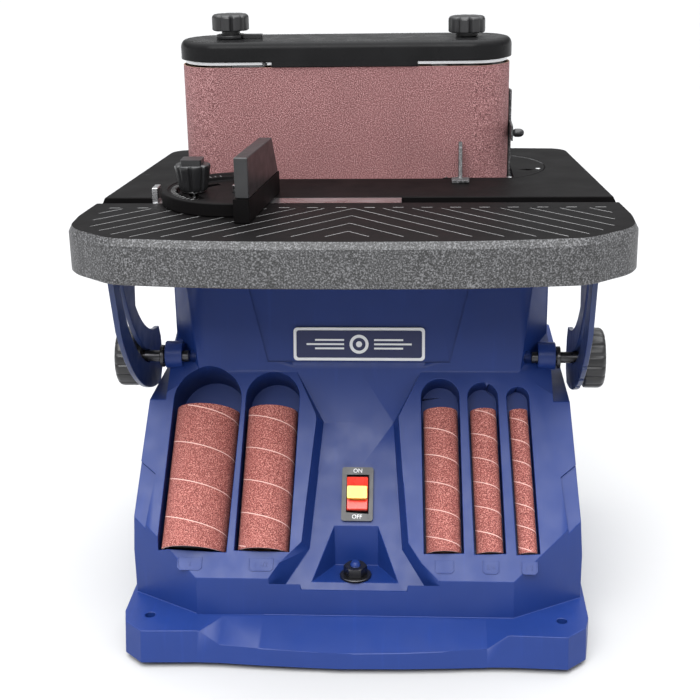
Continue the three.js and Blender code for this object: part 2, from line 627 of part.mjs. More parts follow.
function makeBeltUnit() {
  const plan = (r) => new THREE.Shape(raceTrack(r, 14).map(([x, y]) => new THREE.Vector2(x, y)));
  const topPlate = solid(extrude(plan(30.5), 3).translate(0, 0, FRAME_TOP - 3));
  const web = box(-74, 48, BELT_Y - 9, BELT_Y + 9, 318.8, FRAME_TOP - 2.5);
  const lightening = [-58, -20, 18].map((x) => box(x, x + 18, BELT_Y - 12, BELT_Y + 12, 336, 402));
  const shaftHole = placed(rod(SHAFT_R + GAP, 400, 430, 24), upright(SPINDLE_X, BELT_Y));
  piece('belt_frame', cut(joined(topPlate, web), ...lightening, shaftHole), STEEL);

  const belt = plan(BELT_DEPTH / 2);
  belt.holes.push(new THREE.Path(raceTrack(BELT_DEPTH / 2 - BELT_THICK, 14)
    .map(([x, y]) => new THREE.Vector2(x, y)).reverse()));
  piece('sanding_belt', extrude(belt, BELT_TOP - BELT_BOTTOM).translate(0, 0, BELT_BOTTOM), ABRASIVE);

  const back = BELT_FRONT + BELT_THICK + GAP;
  const ribs = [-66, 34].map((x) => box(x, x + 8, back + 2, BELT_Y - 9 - GAP, 330, 408));
  piece('platen', joined(box(-78, 52, back, back + 3, 321, 416), ...ribs), STEEL);

  const coverLow = raceTrack(34, 12);
  const coverHigh = raceTrack(31, 12);
  const cover = joined(
    solid(loft(coverLow, 424.2, coverLow, 435.5)), solid(loft(coverLow, 435.4, coverHigh, 439.5)));
  piece('belt_cover', cover, BLACK_PLASTIC);

  const guard = joined(guardShell(), box(121.9, 123.5, 32, 61, 359, 371));
  piece('belt_guard', guard, BLACK_COAT);
  piece('guard_knob', turned([
    [0, 0.3], [2.6, 0.3], [3.4, 1.5], [3.4, 6], [2.2, 8.4], [0, 9],
  ], 12), BLACK_PLASTIC, axisTo([1, 0, 0], [123.5, 36, 365]));
}

/** Sheet guard that wraps the drive drum's rear and covers the back of the belt. */
function guardShell() {
  const outer = arc(SPINDLE_X, BELT_Y, 35, -5, 90, 12);
  const inner = arc(SPINDLE_X, BELT_Y, 33.3, 90, -5, 12);
  const points = [...outer, [-96, BELT_Y + 35], [-96, BELT_Y + 33.3], ...inner];
  const sheet = extrude(new THREE.Shape(points.map(([x, y]) => new THREE.Vector2(x, y))), 396 - 321);
  return solid(sheet.translate(0, 0, 321));
}

function drum(bore) {
  const low = 321;
  const high = 414;
  return turned([
    [bore, low], [DRUM_R - 2, low], [DRUM_R, low + 2], [DRUM_R, high - 2], [DRUM_R - 2, high],
    [22, high], [20, high - 4], [bore, high - 4], [bore, low],
  ], 32);
}

function makeDrums() {
  const spindle = upright(SPINDLE_X, BELT_Y);
  const idler = upright(IDLER_X, BELT_Y);
  piece('spindle_shaft', turned([
    [0, 96], [SHAFT_R - 1, 96], [SHAFT_R, 98], [SHAFT_R, 423], [0, 423],
  ], 24), STEEL, spindle);
  piece('drive_drum', drum(SHAFT_R + GAP), ALUMINIUM, spindle);
  piece('idler_drum', drum(6.4), ALUMINIUM, idler);
  const arm = alongZ([[-10, -9, 8], [33, -9, 8], [33, 9, 8], [-10, 9, 8]], 415, 419.4);
  piece('idler_bracket', joined(arm, solid(rod(6, 320, 416, 24))), STEEL, idler);
  const coil = new THREE.CatmullRomCurve3(springPoints());
  const section = new THREE.Shape(arc(0, 0, 0.9, 0, 288, 4).map(([x, y]) => new THREE.Vector2(x, y)));
  piece('tension_spring', new THREE.ExtrudeGeometry(section, {
    steps: 54, bevelEnabled: false, extrudePath: coil,
  }), BLACK_PLASTIC);
}

/** Centre line of the tension spring, which lies along X behind the idler's arm. */
function springPoints() {
  const turns = 6;
  const perTurn = 12;
  const radius = 4;
  const pitch = 4;
  const points = [];
  for (let i = 0; i <= turns * perTurn; i += 1) {
    const a = (i / perTurn) * 2 * Math.PI;
    const along = -72 + (i / perTurn) * pitch;
    points.push(new THREE.Vector3(along, BELT_Y + 19 + radius * Math.cos(a), 410 + radius * Math.sin(a)));
  }
  return points;
}

/** Lobed hand knob on a round neck, turning about its own z axis. */
function lobedKnob(radius, lobes, neckR, neckTop, top, bore = 0) {
  const points = [];
  const steps = lobes * 4;
  for (let i = 0; i < steps; i += 1) {
    const a = (i / steps) * 2 * Math.PI;
    const r = radius * (0.94 + 0.06 * Math.cos(lobes * a));
    points.push([r * Math.cos(a), r * Math.sin(a)]);
  }
  const crown = points.map(([x, y]) => [x * 0.88, y * 0.88]);
  const whole = joined(
    solid(loft(points, neckTop, points, top - 3)), solid(loft(points, top - 3.1, crown, top)),
    solid(rod(neckR, 0, neckTop + 1, 20)));
  return bore > 0 ? whole.subtract(solid(rod(bore, -1, 6, 20))) : whole;
}

function makeTopControls() {
  const coverTop = 439.5 + GAP;
  const left = new THREE.Matrix4().makeTranslation(-107, BELT_Y, coverTop);
  piece('tracking_knob', lobedKnob(15, 6, 7.5, 6.4, 19.6), BLACK_PLASTIC, left);
  const tab = joined(solid(ring(8, 12, 0, 3, 28)), box(10.5, 26, -4, 4, 0, 3));
  piece('tension_lever', tab, BLACK_PLASTIC, left);
  piece('spindle_knob', lobedKnob(15, 6, 9, 3.2, 16.2), BLACK_PLASTIC,
    new THREE.Matrix4().makeTranslation(86, BELT_Y, coverTop));
}

// ---------------------------------------------------------------- table, insert and trunnions

function tableOutline(inset = 0) {
  const front = TABLE_FRONT + inset;
  const back = TABLE_BACK - inset;
  return mirrored([
    [0, front], [90, front + 1.5], [165, front + 11, 34], [TABLE_HALF - inset - 1, -140, 40],
    [TABLE_HALF - inset, TABLE_WIDEST_Y, 60], [TABLE_HALF_BACK + 1 - inset, back - 4, 18], [120, back],
  ]);
}

const OPENING = { x0: -151.5, x1: 124.5, y0: 25.5, y1: 136 };
const INSERT = { x: 97, y: 75, r: 56, lip: 28 };

function tableTop() {
  const block = alongZ(tableOutline(), SKIRT_BOTTOM, TABLE_TOP);
  const under = alongZ(tableOutline(SKIRT_WALL), SKIRT_BOTTOM - 1, TABLE_UNDER);
  const rib = alongZ([
    [-198, SLOT_FRONT - 4], [198, SLOT_FRONT - 4], [198, SLOT_BACK + 4], [-198, SLOT_BACK + 4],
  ], 317, TABLE_UNDER + 1);
  const slot = box(-230, 230, SLOT_FRONT, SLOT_BACK, SLOT_FLOOR, TABLE_TOP + 5);
  const opening = alongZ([
    [OPENING.x0, OPENING.y0, 26], [OPENING.x1, OPENING.y0],
    [OPENING.x1, OPENING.y1], [OPENING.x0, OPENING.y1, 26],
  ], TABLE_UNDER - 2, TABLE_TOP + 5);
  const middle = upright(INSERT.x, INSERT.y);
  const seat = placed(rod(INSERT.r + 0.4, TABLE_TOP - 3 - GAP, TABLE_TOP + 5, 48), middle);
  const hole = placed(rod(INSERT.r - 6, TABLE_UNDER - 2, TABLE_TOP, 48), middle);
  return cut(joined(block.subtract(under), rib), slot, opening, seat, hole);
}

/** J-shaped plate with the tilt slot, seen along X about the virtual pivot. */
function trunnionPlate(x0, x1, notched) {
  const polar = (r, phi) => {
    const a = THREE.MathUtils.degToRad(phi);
    return [TILT_PIVOT_Y - r * Math.sin(a), TABLE_TOP - r * Math.cos(a)];
  };
  const sweep = (r, from, to, steps) => Array.from({ length: steps + 1 }, (_, i) => (
    polar(r, from + ((to - from) * i) / steps)));
  const top = TABLE_UNDER - GAP;
  const edge = [
    ...sweep(122, 50, 6, 12), polar(132, 3), polar(146, 2), polar(160, 3), ...sweep(170, 6, 60, 14),
    [-150, top], [-52, top], [-66, 292],
  ];
  const plate = alongX(edge, x0, x1);
  const slotR = Math.hypot(TILT_PIVOT_Y - STUD_Y, TABLE_TOP - STUD_Z);
  const rest = THREE.MathUtils.radToDeg(Math.atan2(TILT_PIVOT_Y - STUD_Y, TABLE_TOP - STUD_Z));
  const half = STUD_R + 0.7;
  const slot = alongX([
    ...sweep(slotR - half, rest + 46, rest - 1.5, 14), polar(slotR, rest - 3.2),
    ...sweep(slotR + half, rest - 1.5, rest + 46, 14), polar(slotR, rest + 47.7),
  ], x0 - 1, x1 + 1);
  const notches = notched ? [14, 22, 30, 38, 46].map((phi) => alongX([
    polar(174, phi - 1.1), polar(164, phi), polar(174, phi + 1.1),
  ], x0 - 1, x1 + 1)) : [];
  const ribRelief = box(x0 - 1, x1 + 1, SLOT_FRONT - 4 - GAP, SLOT_BACK + 4 + GAP, 317 - GAP, TABLE_TOP);
  return cut(plate, slot, ribRelief, ...notches);
}

function makeTable() {
  piece('table_top', tableTop(), BLACK_COAT);
  const disc = placed(rod(INSERT.r, TABLE_TOP - 3, TABLE_TOP, 48), upright(INSERT.x, INSERT.y));
  const inside = box(-100, OPENING.x1, INSERT.lip, OPENING.y1 + 40, 300, 340);
  const finger = alongZ([[132, 60], [137, 57.6], [142, 60], [137, 62.4]], 300, 340);
  piece('throat_insert', cut(disc, inside, finger), BLACK_COAT);
  const fin = alongX([
    [10, TABLE_TOP + 1], [26, TABLE_TOP + 1], [26.5, TABLE_TOP + 30], [22, TABLE_TOP + 30],
  ], 79.5, 82.5);
  piece('work_stop', joined(box(74, 88, 4, 16, TABLE_TOP + GAP, TABLE_TOP + 2.8), fin), BLACK_COAT);
  piece('trunnion_left', trunnionPlate(-TRUNNION_OUT, -TRUNNION_IN, false), BLUE_STEEL);
  piece('trunnion_right', trunnionPlate(TRUNNION_IN, TRUNNION_OUT, true), BLUE_STEEL);
}

function makeTiltLocks() {
  [['left', -1], ['right', 1]].forEach(([name, side]) => {
    const place = axisTo([side, 0, 0], [0, STUD_Y, STUD_Z]);
    const stud = turned([
      [0, 138], [STUD_R, 138], [STUD_R, 157.6], [9, 157.6], [9, 160.6], [STUD_R, 160.6],
      [STUD_R, 188], [0, 188],
    ], 20);
    piece(`trunnion_stud_${name}`, stud, DARK_STEEL, place);
    const grips = 16;
    const rim = [];
    for (let i = 0; i < grips * 2; i += 1) {
      const a = (i / (grips * 2)) * 2 * Math.PI;
      const r = i % 2 === 0 ? 23.2 : 24;
      rim.push([r * Math.cos(a), r * Math.sin(a)]);
    }
    const hollow = rod(STUD_R + GAP, TRUNNION_OUT, 188 + GAP, 20);
    const face = rim.map(([x, y]) => [x * 0.86, y * 0.86]);
    const knob = cut(joined(
      solid(loft(rim, TRUNNION_OUT + GAP + 3, rim, KNOB_OUT - 3)),
      solid(loft(rim, KNOB_OUT - 3.1, face, KNOB_OUT)),
      solid(rod(13, TRUNNION_OUT + GAP, TRUNNION_OUT + 4, 28))), solid(hollow));
    piece(`tilt_knob_${name}`, knob, BLACK_PLASTIC, place);
  });
}

// ---------------------------------------------------------------- mitre gauge

function makeMitreGauge() {
  const barTop = TABLE_TOP - 0.4;
  const barLow = SLOT_FLOOR + GAP;
  const bar = box(-155, 35, SLOT_FRONT + GAP + 0.2, SLOT_BACK - GAP - 0.2, barLow, barTop);
  const tab = box(-155, -150.6, GAUGE_Y - 7, GAUGE_Y + 7, barTop - 1, TABLE_TOP + 11);
  const pin = placed(rod(4, barTop - 1, TABLE_TOP + 12, 20), upright(GAUGE_X, GAUGE_Y));
  const screwHole = placed(rod(2.9, barLow - 1, barTop + 1, 16), upright(GAUGE_X - GAUGE_KNOB_R, GAUGE_Y));
  piece('mitre_bar', cut(joined(bar, tab, pin), screwHole), STEEL);

  const low = TABLE_TOP + 0.4;
  const place = new THREE.Matrix4().makeTranslation(GAUGE_X, GAUGE_Y, low)
    .multiply(new THREE.Matrix4().makeRotationZ(GAUGE_SWIVEL));
  const disc = cut(
    joined(solid(rod(58, 0, 6, 40)), solid(ring(46, 58, 5, 10, 40))),
    box(16.8, 80, -80, 80, -1, 20));
  const rail = box(14.8, 26.6, -75, 28, 0, 17.3);
  const slot = new THREE.Shape([
    ...arc(0, 0, GAUGE_KNOB_R + 3.4, 129, 231, 16), ...arc(0, 0, GAUGE_KNOB_R - 3.4, 231, 129, 16),
  ].map(([x, y]) => new THREE.Vector2(x, y)));
  const arcSlot = solid(extrude(slot, 20).translate(0, 0, -1));
  const head = cut(joined(disc, rail), solid(rod(4.4, -1, 20, 20)), arcSlot);
  piece('mitre_head', head, BLACK_COAT, place);
  const fence = alongX([[-75, 17.6], [-75, 47], [6, 47], [24, 17.6]].reverse(), 16.4, 26.6);
  piece('mitre_fence', fence, BLACK_PLASTIC, place);

  const knob = cut(lobedKnob(14, 8, 4, 10.8, 31), box(-30, 30, -30, 30, 27, 40));
  const cap = solid(new THREE.BoxGeometry(16, 16, 6).translate(0, 0, 29));
  const washer = solid(rod(9, 6.6, 8, 24));
  const screw = solid(rod(2.5, -8, 10, 16));
  piece('mitre_knob', joined(knob.intersect(box(-30, 30, -30, 30, 8, 40)), cap, washer, screw), BLACK_PLASTIC,
    new THREE.Matrix4().makeTranslation(GAUGE_X - GAUGE_KNOB_R, GAUGE_Y, low));
}

// ---------------------------------------------------------------- stored sleeves

function makeSleeves() {
  SLEEVES.forEach((sleeve) => {
    const radius = sleeve.od / 2;
    const v = POCKET_FLOOR_V - POCKET_MIDDLE_V + 1 + SLEEVE_LENGTH / 2;
    const centre = new THREE.Matrix4().makeTranslation(0, v, sleeve.proud - radius);
    const lying = new THREE.Matrix4().makeRotationX(-Math.PI / 2);
    const place = pocketFrame(sleeve).multiply(centre).multiply(lying);
    const half = SLEEVE_LENGTH / 2;
    piece(sleeve.name, ring(radius - 1.3, radius, -half, half, radius > 15 ? 36 : 24), RED_ABRASIVE, place);
    if (sleeve.name === 'sleeve_2in') {
      piece('rubber_drum_2in', ring(6, radius - 1.3 - GAP, -half + 1, half - 6, 32), RUBBER, place);
    }
  });
}

// ---------------------------------------------------------------- assembly

makeHousing();
makeSwitch();
makeStorageStud();
makeRearFittings();
makeDrive();
makeCarriage();
makeBeltUnit();
makeDrums();
makeTopControls();
makeTable();
makeTiltLocks();
makeMitreGauge();
makeSleeves();

export default model;
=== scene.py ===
# Looks of the benchtop oscillating belt and spindle sander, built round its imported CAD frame.
# +Z up, +X to the operator's right, the operator stands on the -Y side. Shapes are written in
# millimetres in the CAD's own frame and turned into metres by the mesh helpers.

import json
from math import acos, atan2, ceil, cos, hypot, pi, radians, sin, tan

import bmesh
import bpy
import numpy as np
from mathutils import Matrix, Vector


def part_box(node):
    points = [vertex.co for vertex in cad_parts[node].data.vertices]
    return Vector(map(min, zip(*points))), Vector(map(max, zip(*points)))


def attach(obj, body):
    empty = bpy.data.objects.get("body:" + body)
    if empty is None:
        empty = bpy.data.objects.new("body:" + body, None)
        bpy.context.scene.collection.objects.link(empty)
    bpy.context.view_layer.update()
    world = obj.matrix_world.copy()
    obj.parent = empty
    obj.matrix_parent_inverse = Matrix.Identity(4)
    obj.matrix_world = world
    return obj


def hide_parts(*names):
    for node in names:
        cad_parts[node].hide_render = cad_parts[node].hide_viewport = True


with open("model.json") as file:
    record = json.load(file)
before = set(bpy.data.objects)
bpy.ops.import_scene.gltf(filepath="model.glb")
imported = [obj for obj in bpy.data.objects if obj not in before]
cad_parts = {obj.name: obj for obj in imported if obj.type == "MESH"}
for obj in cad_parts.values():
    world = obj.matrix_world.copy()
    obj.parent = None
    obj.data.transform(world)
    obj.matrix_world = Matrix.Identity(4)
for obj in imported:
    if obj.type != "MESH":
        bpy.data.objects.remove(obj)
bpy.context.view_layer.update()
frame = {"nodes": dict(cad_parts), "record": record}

MM = 0.001
BODY_OF = {node: body for body, nodes in frame["record"]["behaviour"]["bodies"].items() for node in nodes}
SLOT_OF = {row["node"]: row["material_slot"] for row in frame["record"]["subparts"]}

# -------- camera, light and floor

CAMERA_AT = (0.0559, -1.0565, 0.5548)
CAMERA_YAW = radians(-3.542)       # to the left of straight ahead
CAMERA_PITCH = radians(18.992)     # looking down
CAMERA_ROLL = radians(-0.936)
CAMERA_LENS = 69.02                     # on a 36 mm sensor

SKY_ZENITH = 5.8
SKY_HORIZON = 0.08
SKY_FALLOFF = 3.0
HAZE = 0.95                             # a pale band along the horizon, so that the floor has no edge
HAZE_FADE = (0.06, 0.15)                # sines of the elevations between which it fades


def linked(name, data):
    made = bpy.data.objects.new(name, data)
    bpy.context.scene.collection.objects.link(made)
    return made


def make_camera():
    forward = Vector((sin(CAMERA_YAW) * cos(CAMERA_PITCH),
                      cos(CAMERA_YAW) * cos(CAMERA_PITCH), -sin(CAMERA_PITCH)))
    level = Vector((cos(CAMERA_YAW), -sin(CAMERA_YAW), 0))
    above = level.cross(forward)
    right = cos(CAMERA_ROLL) * level + sin(CAMERA_ROLL) * above
    up = cos(CAMERA_ROLL) * above - sin(CAMERA_ROLL) * level
    camera = linked("camera", bpy.data.cameras.new("camera"))
    camera.data.sensor_width = 36
    camera.data.lens = CAMERA_LENS
    camera.data.clip_start = 0.05
    turned = Matrix((right, up, -forward)).transposed().to_4x4()
    camera.matrix_world = Matrix.Translation(CAMERA_AT) @ turned
    bpy.context.scene.camera = camera


def softbox(name, place, target, width, height, power):
    light = bpy.data.lights.new(name, "AREA")
    light.shape = "RECTANGLE"
    light.size = width
    light.size_y = height
    light.energy = power
    lamp = linked(name, light)
    lamp.location = place
    lamp.rotation_euler = (Vector(target) - Vector(place)).to_track_quat("-Z", "Y").to_euler()


def make_studio():
    """A bright sky that dims down to a pale haze, a key light in front and a weak strip at each side."""
    softbox("key", (-0.3, -1.65, 1.6), (0, -0.05, 0.2), 1.7, 1.0, 36)
    softbox("left_strip", (-1.5, -0.3, 1.1), (0, 0, 0.3), 0.3, 0.9, 0.8)
    softbox("right_strip", (1.5, -0.3, 1.1), (0, 0, 0.3), 0.3, 0.9, 0.8)
    world = bpy.data.worlds.new("studio")
    world.use_nodes = True
    tree = world.node_tree
    where = tree.nodes.new("ShaderNodeTexCoord")
    split = tree.nodes.new("ShaderNodeSeparateXYZ")
    tree.links.new(where.outputs["Generated"], split.inputs["Vector"])
    steps = (("MAXIMUM", 0.0), ("POWER", SKY_FALLOFF), ("MULTIPLY", SKY_ZENITH), ("ADD", SKY_HORIZON))
    level = split.outputs["Z"]
    for operation, amount in steps:
        node = tree.nodes.new("ShaderNodeMath")
        node.operation = operation
        node.inputs[1].default_value = amount
        tree.links.new(level, node.inputs[0])
        level = node.outputs["Value"]
    haze = spread(tree, split.outputs["Z"], HAZE, 0.0, *HAZE_FADE)
    summed = tree.nodes.new("ShaderNodeMath")
    tree.links.new(level, summed.inputs[0])
    tree.links.new(haze, summed.inputs[1])
    background = tree.nodes["Background"]
    background.inputs["Color"].default_value = (0.98, 0.99, 1.0, 1)
    tree.links.new(summed.outputs["Value"], background.inputs["Strength"])
    bpy.context.scene.world = world
    bpy.context.scene.view_settings.view_transform = "Standard"


# -------- materials

def shader(name):
    material = bpy.data.materials.new(name)
    material.use_nodes = True
    return material, material.node_tree, material.node_tree.nodes["Principled BSDF"]


def noise(tree, scale, detail=2.0, stretch=(1, 1, 1)):
    """Noise over the object's own metres; a stretch above 1 along an axis makes it finer along it."""
    where = tree.nodes.new("ShaderNodeTexCoord")
    mapping = tree.nodes.new("ShaderNodeMapping")
    mapping.inputs["Scale"].default_value = stretch
    texture = tree.nodes.new("ShaderNodeTexNoise")
    texture.inputs["Scale"].default_value = scale
    texture.inputs["Detail"].default_value = detail
    tree.links.new(where.outputs["Object"], mapping.inputs["Vector"])
    tree.links.new(mapping.outputs["Vector"], texture.inputs["Vector"])
    return texture.outputs["Fac"]


def ramp(tree, source, stops):
    """Colour ramp with (position, colour) stops."""
    node = tree.nodes.new("ShaderNodeValToRGB")
    while len(node.color_ramp.elements) < len(stops):
        node.color_ramp.elements.new(0.5)
    for element, (position, colour) in zip(node.color_ramp.elements, stops):
        element.position = position
        element.color = (*colour, 1)
    tree.links.new(source, node.inputs["Fac"])
    return node.outputs["Color"]


def spread(tree, source, low, high, from_low=0.3, from_high=0.7):
    node = tree.nodes.new("ShaderNodeMapRange")
    node.inputs["From Min"].default_value = from_low
    node.inputs["From Max"].default_value = from_high
    node.inputs["To Min"].default_value = low
    node.inputs["To Max"].default_value = high
    tree.links.new(source, node.inputs["Value"])
    return node.outputs["Result"]


def blended(tree, mode, factor, first, second):
    node = tree.nodes.new("ShaderNodeMix")
    node.data_type = "RGBA"
    node.blend_type = mode
    if isinstance(factor, float):
        node.inputs["Factor"].default_value = factor
    else:
        tree.links.new(factor, node.inputs["Factor"])
    for socket, value in ((node.inputs[6], first), (node.inputs[7], second)):
        if isinstance(value, tuple):
            socket.default_value = (*value, 1)
        else:
            tree.links.new(value, socket)
    return node.outputs[2]


def bumped(tree, bsdf, height, strength, depth, below=None):
    node = tree.nodes.new("ShaderNodeBump")
    node.inputs["Strength"].default_value = strength
    node.inputs["Distance"].default_value = depth
    tree.links.new(height, node.inputs["Height"])
    if below is not None:
        tree.links.new(below, node.inputs["Normal"])
    tree.links.new(node.outputs["Normal"], bsdf.inputs["Normal"])
    return node.outputs["Normal"]


def tinted(colour, factor):
    return tuple(min(1.0, c * factor) for c in colour)


def surface(name, colour, rough, metal=0.0, grain=(2500, 0.1, 0.0002), mottle=0.08, patch=30,
            rough_spread=0.06, stretch=(1, 1, 1), coat=0.0, scuffs=0.0, gloss=0.5):
    """General finish: slow colour drift, fine surface grain, uneven gloss, and thin pale scuffs."""
    material, tree, bsdf = shader(name)
    drift = ramp(tree, noise(tree, patch, 4, stretch),
                 [(0.3, tinted(colour, 1 - mottle)), (0.7, tinted(colour, 1 + mottle))])
    if scuffs:
        lines = spread(tree, noise(tree, 70, 3, (3.5, 0.3, 0.25)), 0.0, scuffs, 0.6, 0.78)
        drift = blended(tree, "MIX", lines, drift, tinted(colour, 2.2))
    tree.links.new(drift, bsdf.inputs["Base Color"])
    bsdf.inputs["Metallic"].default_value = metal
    bsdf.inputs["Coat Weight"].default_value = coat
    bsdf.inputs["Specular IOR Level"].default_value = gloss
    uneven = spread(tree, noise(tree, patch * 3, 3, stretch), rough - rough_spread, rough + rough_spread)
    tree.links.new(uneven, bsdf.inputs["Roughness"])
    scale, strength, depth = grain
    bumped(tree, bsdf, noise(tree, scale, 3, stretch), strength, depth)
    return material


def speckled(name, dark, middle, light, scale, rough, strength, depth):
    """Grit or crinkle: a coarse and a fine noise set the colour and the relief together."""
    material, tree, bsdf = shader(name)
    coarse = noise(tree, scale, 2)
    fine = noise(tree, scale * 2.7, 2)
    colour = ramp(tree, coarse, [(0.36, dark), (0.5, middle), (0.66, light)])
    contrast = ramp(tree, fine, [(0.35, (0.1,) * 3), (0.65, (0.9,) * 3)])
    colour = blended(tree, "SOFT_LIGHT", 0.6, colour, contrast)
    shade = ramp(tree, noise(tree, 18, 3), [(0.3, (0.88,) * 3), (0.7, (1.0,) * 3)])
    colour = blended(tree, "MULTIPLY", 1.0, colour, shade)
    tree.links.new(colour, bsdf.inputs["Base Color"])
    tree.links.new(spread(tree, coarse, rough - 0.08, rough + 0.08), bsdf.inputs["Roughness"])
    bumped(tree, bsdf, coarse, strength, depth, bumped(tree, bsdf, fine, strength * 0.6, depth * 0.5))
    return material


GRIT = (1300, 0.8, 0.6, 0.0004)          # scale, roughness, strength and depth of both abrasives


def make_materials():
    return {
        "blue_plastic": surface(
            "moulded_blue", (0.009, 0.030, 0.160), 0.42, grain=(2400, 0.16, 0.0002), mottle=0.05, patch=22,
            scuffs=0.10, gloss=0.35),
        "blue_steel": surface("painted_blue_steel", (0.008, 0.022, 0.090), 0.35, grain=(900, 0.1, 0.0002)),
        "black_coat": speckled(
            "crinkle_coat", (0.014,) * 3, (0.045, 0.045, 0.047), (0.15, 0.15, 0.155), 850, 0.5, 0.55, 0.0005),
        "satin_coat": surface(
            "satin_table_coat", (0.004, 0.0036, 0.0038), 0.5, grain=(1300, 0.22, 0.0002), mottle=0.25,
            patch=12, rough_spread=0.05, gloss=0.06),
        "black_plastic": surface(
            "black_plastic", (0.014, 0.014, 0.015), 0.34, grain=(1800, 0.12, 0.0002), mottle=0.2),
        "cover_plastic": surface(
            "gloss_black_cover", (0.010, 0.010, 0.0105), 0.3, grain=(500, 0.05, 0.0002), mottle=0.15,
            gloss=0.08),
        "steel": surface(
            "bright_steel", (0.62, 0.62, 0.63), 0.3, 1.0, grain=(900, 0.12, 0.0001), mottle=0.06,
            stretch=(0.3, 1, 3)),
        "dark_steel": surface(
            "black_zinc", (0.06, 0.06, 0.065), 0.28, 0.85, grain=(900, 0.1, 0.0001), mottle=0.2),
        "aluminium": surface(
            "machined_aluminium", (0.6, 0.6, 0.61), 0.34, 1.0, grain=(1200, 0.15, 0.0001), mottle=0.06,
            stretch=(1, 1, 6)),
        "belt_abrasive": speckled(
            "belt_grit", (0.09, 0.028, 0.029), (0.22, 0.088, 0.090), (0.52, 0.29, 0.29), *GRIT),
        "red_abrasive": speckled(
            "sleeve_grit", (0.13, 0.024, 0.020), (0.29, 0.070, 0.058), (0.62, 0.27, 0.23), *GRIT),
        "backing": surface("paper_backing", (0.42, 0.27, 0.18), 0.8, grain=(1500, 0.3, 0.0003)),
        "seam": surface("seam_edge", (0.72, 0.47, 0.42), 0.7, grain=(1500, 0.3, 0.0002)),
        "rubber": surface("black_rubber", (0.012, 0.012, 0.012), 0.65, grain=(900, 0.35, 0.0004), mottle=0.3),
        "white_plastic": surface(
            "white_print", (0.78, 0.79, 0.80), 0.4, grain=(1500, 0.1, 0.0001), mottle=0.02),
        "badge_blue": surface(
            "badge_field", (0.010, 0.016, 0.075), 0.35, grain=(1500, 0.1, 0.0001), mottle=0.1),
        "red_plastic": surface(
            "red_plastic", (0.75, 0.035, 0.016), 0.25, grain=(1500, 0.06, 0.0001), mottle=0.05, coat=0.3),
        "yellow_plastic": surface(
            "yellow_plastic", (0.90, 0.66, 0.02), 0.25, grain=(1500, 0.06, 0.0001), mottle=0.04, coat=0.3),
        "pale_line": surface("engraved_line", (0.26, 0.26, 0.26), 0.6, grain=(1500, 0.2, 0.0001), mottle=0.2),
        "floor": surface(
            "studio_floor", (0.45, 0.45, 0.452), 0.55, grain=(60, 0.03, 0.001), mottle=0.008, patch=3),
    }


# -------- mesh helpers

def piece_of(name, bm, *slots):
    """Links a bmesh in metres as a new object that wears the given materials."""
    mesh = bpy.data.meshes.new(name)
    bm.to_mesh(mesh)
    bm.free()
    for slot_name in slots:
        mesh.materials.append(LOOKS[slot_name])
    return linked(name, mesh)


def dressed(made, *slots):
    made.data.materials.clear()
    for slot_name in slots:
        made.data.materials.append(LOOKS[slot_name])
    return made


def settled(made):
    """The object's modifiers are applied to its mesh."""
    shown = made.evaluated_get(bpy.context.evaluated_depsgraph_get())
    mesh = bpy.data.meshes.new_from_object(shown)
    made.modifiers.clear()
    made.data = mesh
    return made


def gap_between(vert, edge):
    """Distance from a vertex to an edge."""
    start = edge.verts[0].co
    run = edge.verts[1].co - start
    along = max(0.0, min(1.0, (vert.co - start).dot(run) / max(run.length_squared, 1e-12)))
    return (vert.co - start - run * along).length


NEARLY_PARALLEL = 0.94                  # cosines between an edge and its neighbour
NEARLY_IN_LINE = 0.8


def has_room(edge, room):
    """True when a bevel of this edge can't run into a short edge, a near-parallel one or one close by."""
    run = (edge.verts[1].co - edge.verts[0].co).normalized()
    for vert in edge.verts:
        for other in vert.link_edges:
            if other == edge:
                continue
            away = (other.other_vert(vert).co - vert.co).normalized()
            along = abs(run.dot(away))
            slides = other.calc_face_angle(0) < radians(3) and along > NEARLY_PARALLEL
            if slides or along < NEARLY_IN_LINE and other.calc_length() < room:
                return False
    for face in edge.link_faces:
        for other in face.edges:
            if set(other.verts) & set(edge.verts):
                continue
            gaps = [gap_between(vert, other) for vert in edge.verts]
            gaps += [gap_between(vert, edge) for vert in other.verts]
            if min(gaps) < room:
                return False
    return True


def rounded(made, width, segments=2, angle=30):
    """Rounds the mesh's sharp edges by a width in millimetres, leaving out those with no room for it."""
    bm = bmesh.new()
    bm.from_mesh(made.data)
    limit = radians(angle)
    paired = [edge for edge in bm.edges if len(edge.link_faces) == 2]
    sharp = [edge for edge in paired if edge.calc_face_angle(0) > limit]
    free = [edge for edge in sharp if has_room(edge, 2.5 * width * MM)]
    bmesh.ops.bevel(bm, geom=free, offset=width * MM, offset_type="OFFSET", segments=segments, profile=0.5,
                    affect="EDGES", clamp_overlap=False)
    bm.to_mesh(made.data)
    bm.free()
    return made


def softened(made, width, segments=2, angle=30, smooth=38):
    """Rounded edges and smooth shading."""
    if width > 0:
        rounded(made, width, segments, angle)
    made.data.shade_smooth()
    made.data.set_sharp_from_angle(angle=radians(smooth))
    weighted = made.modifiers.new("normals", "WEIGHTED_NORMAL")
    weighted.keep_sharp = True
    weighted.weight = 80
    return made


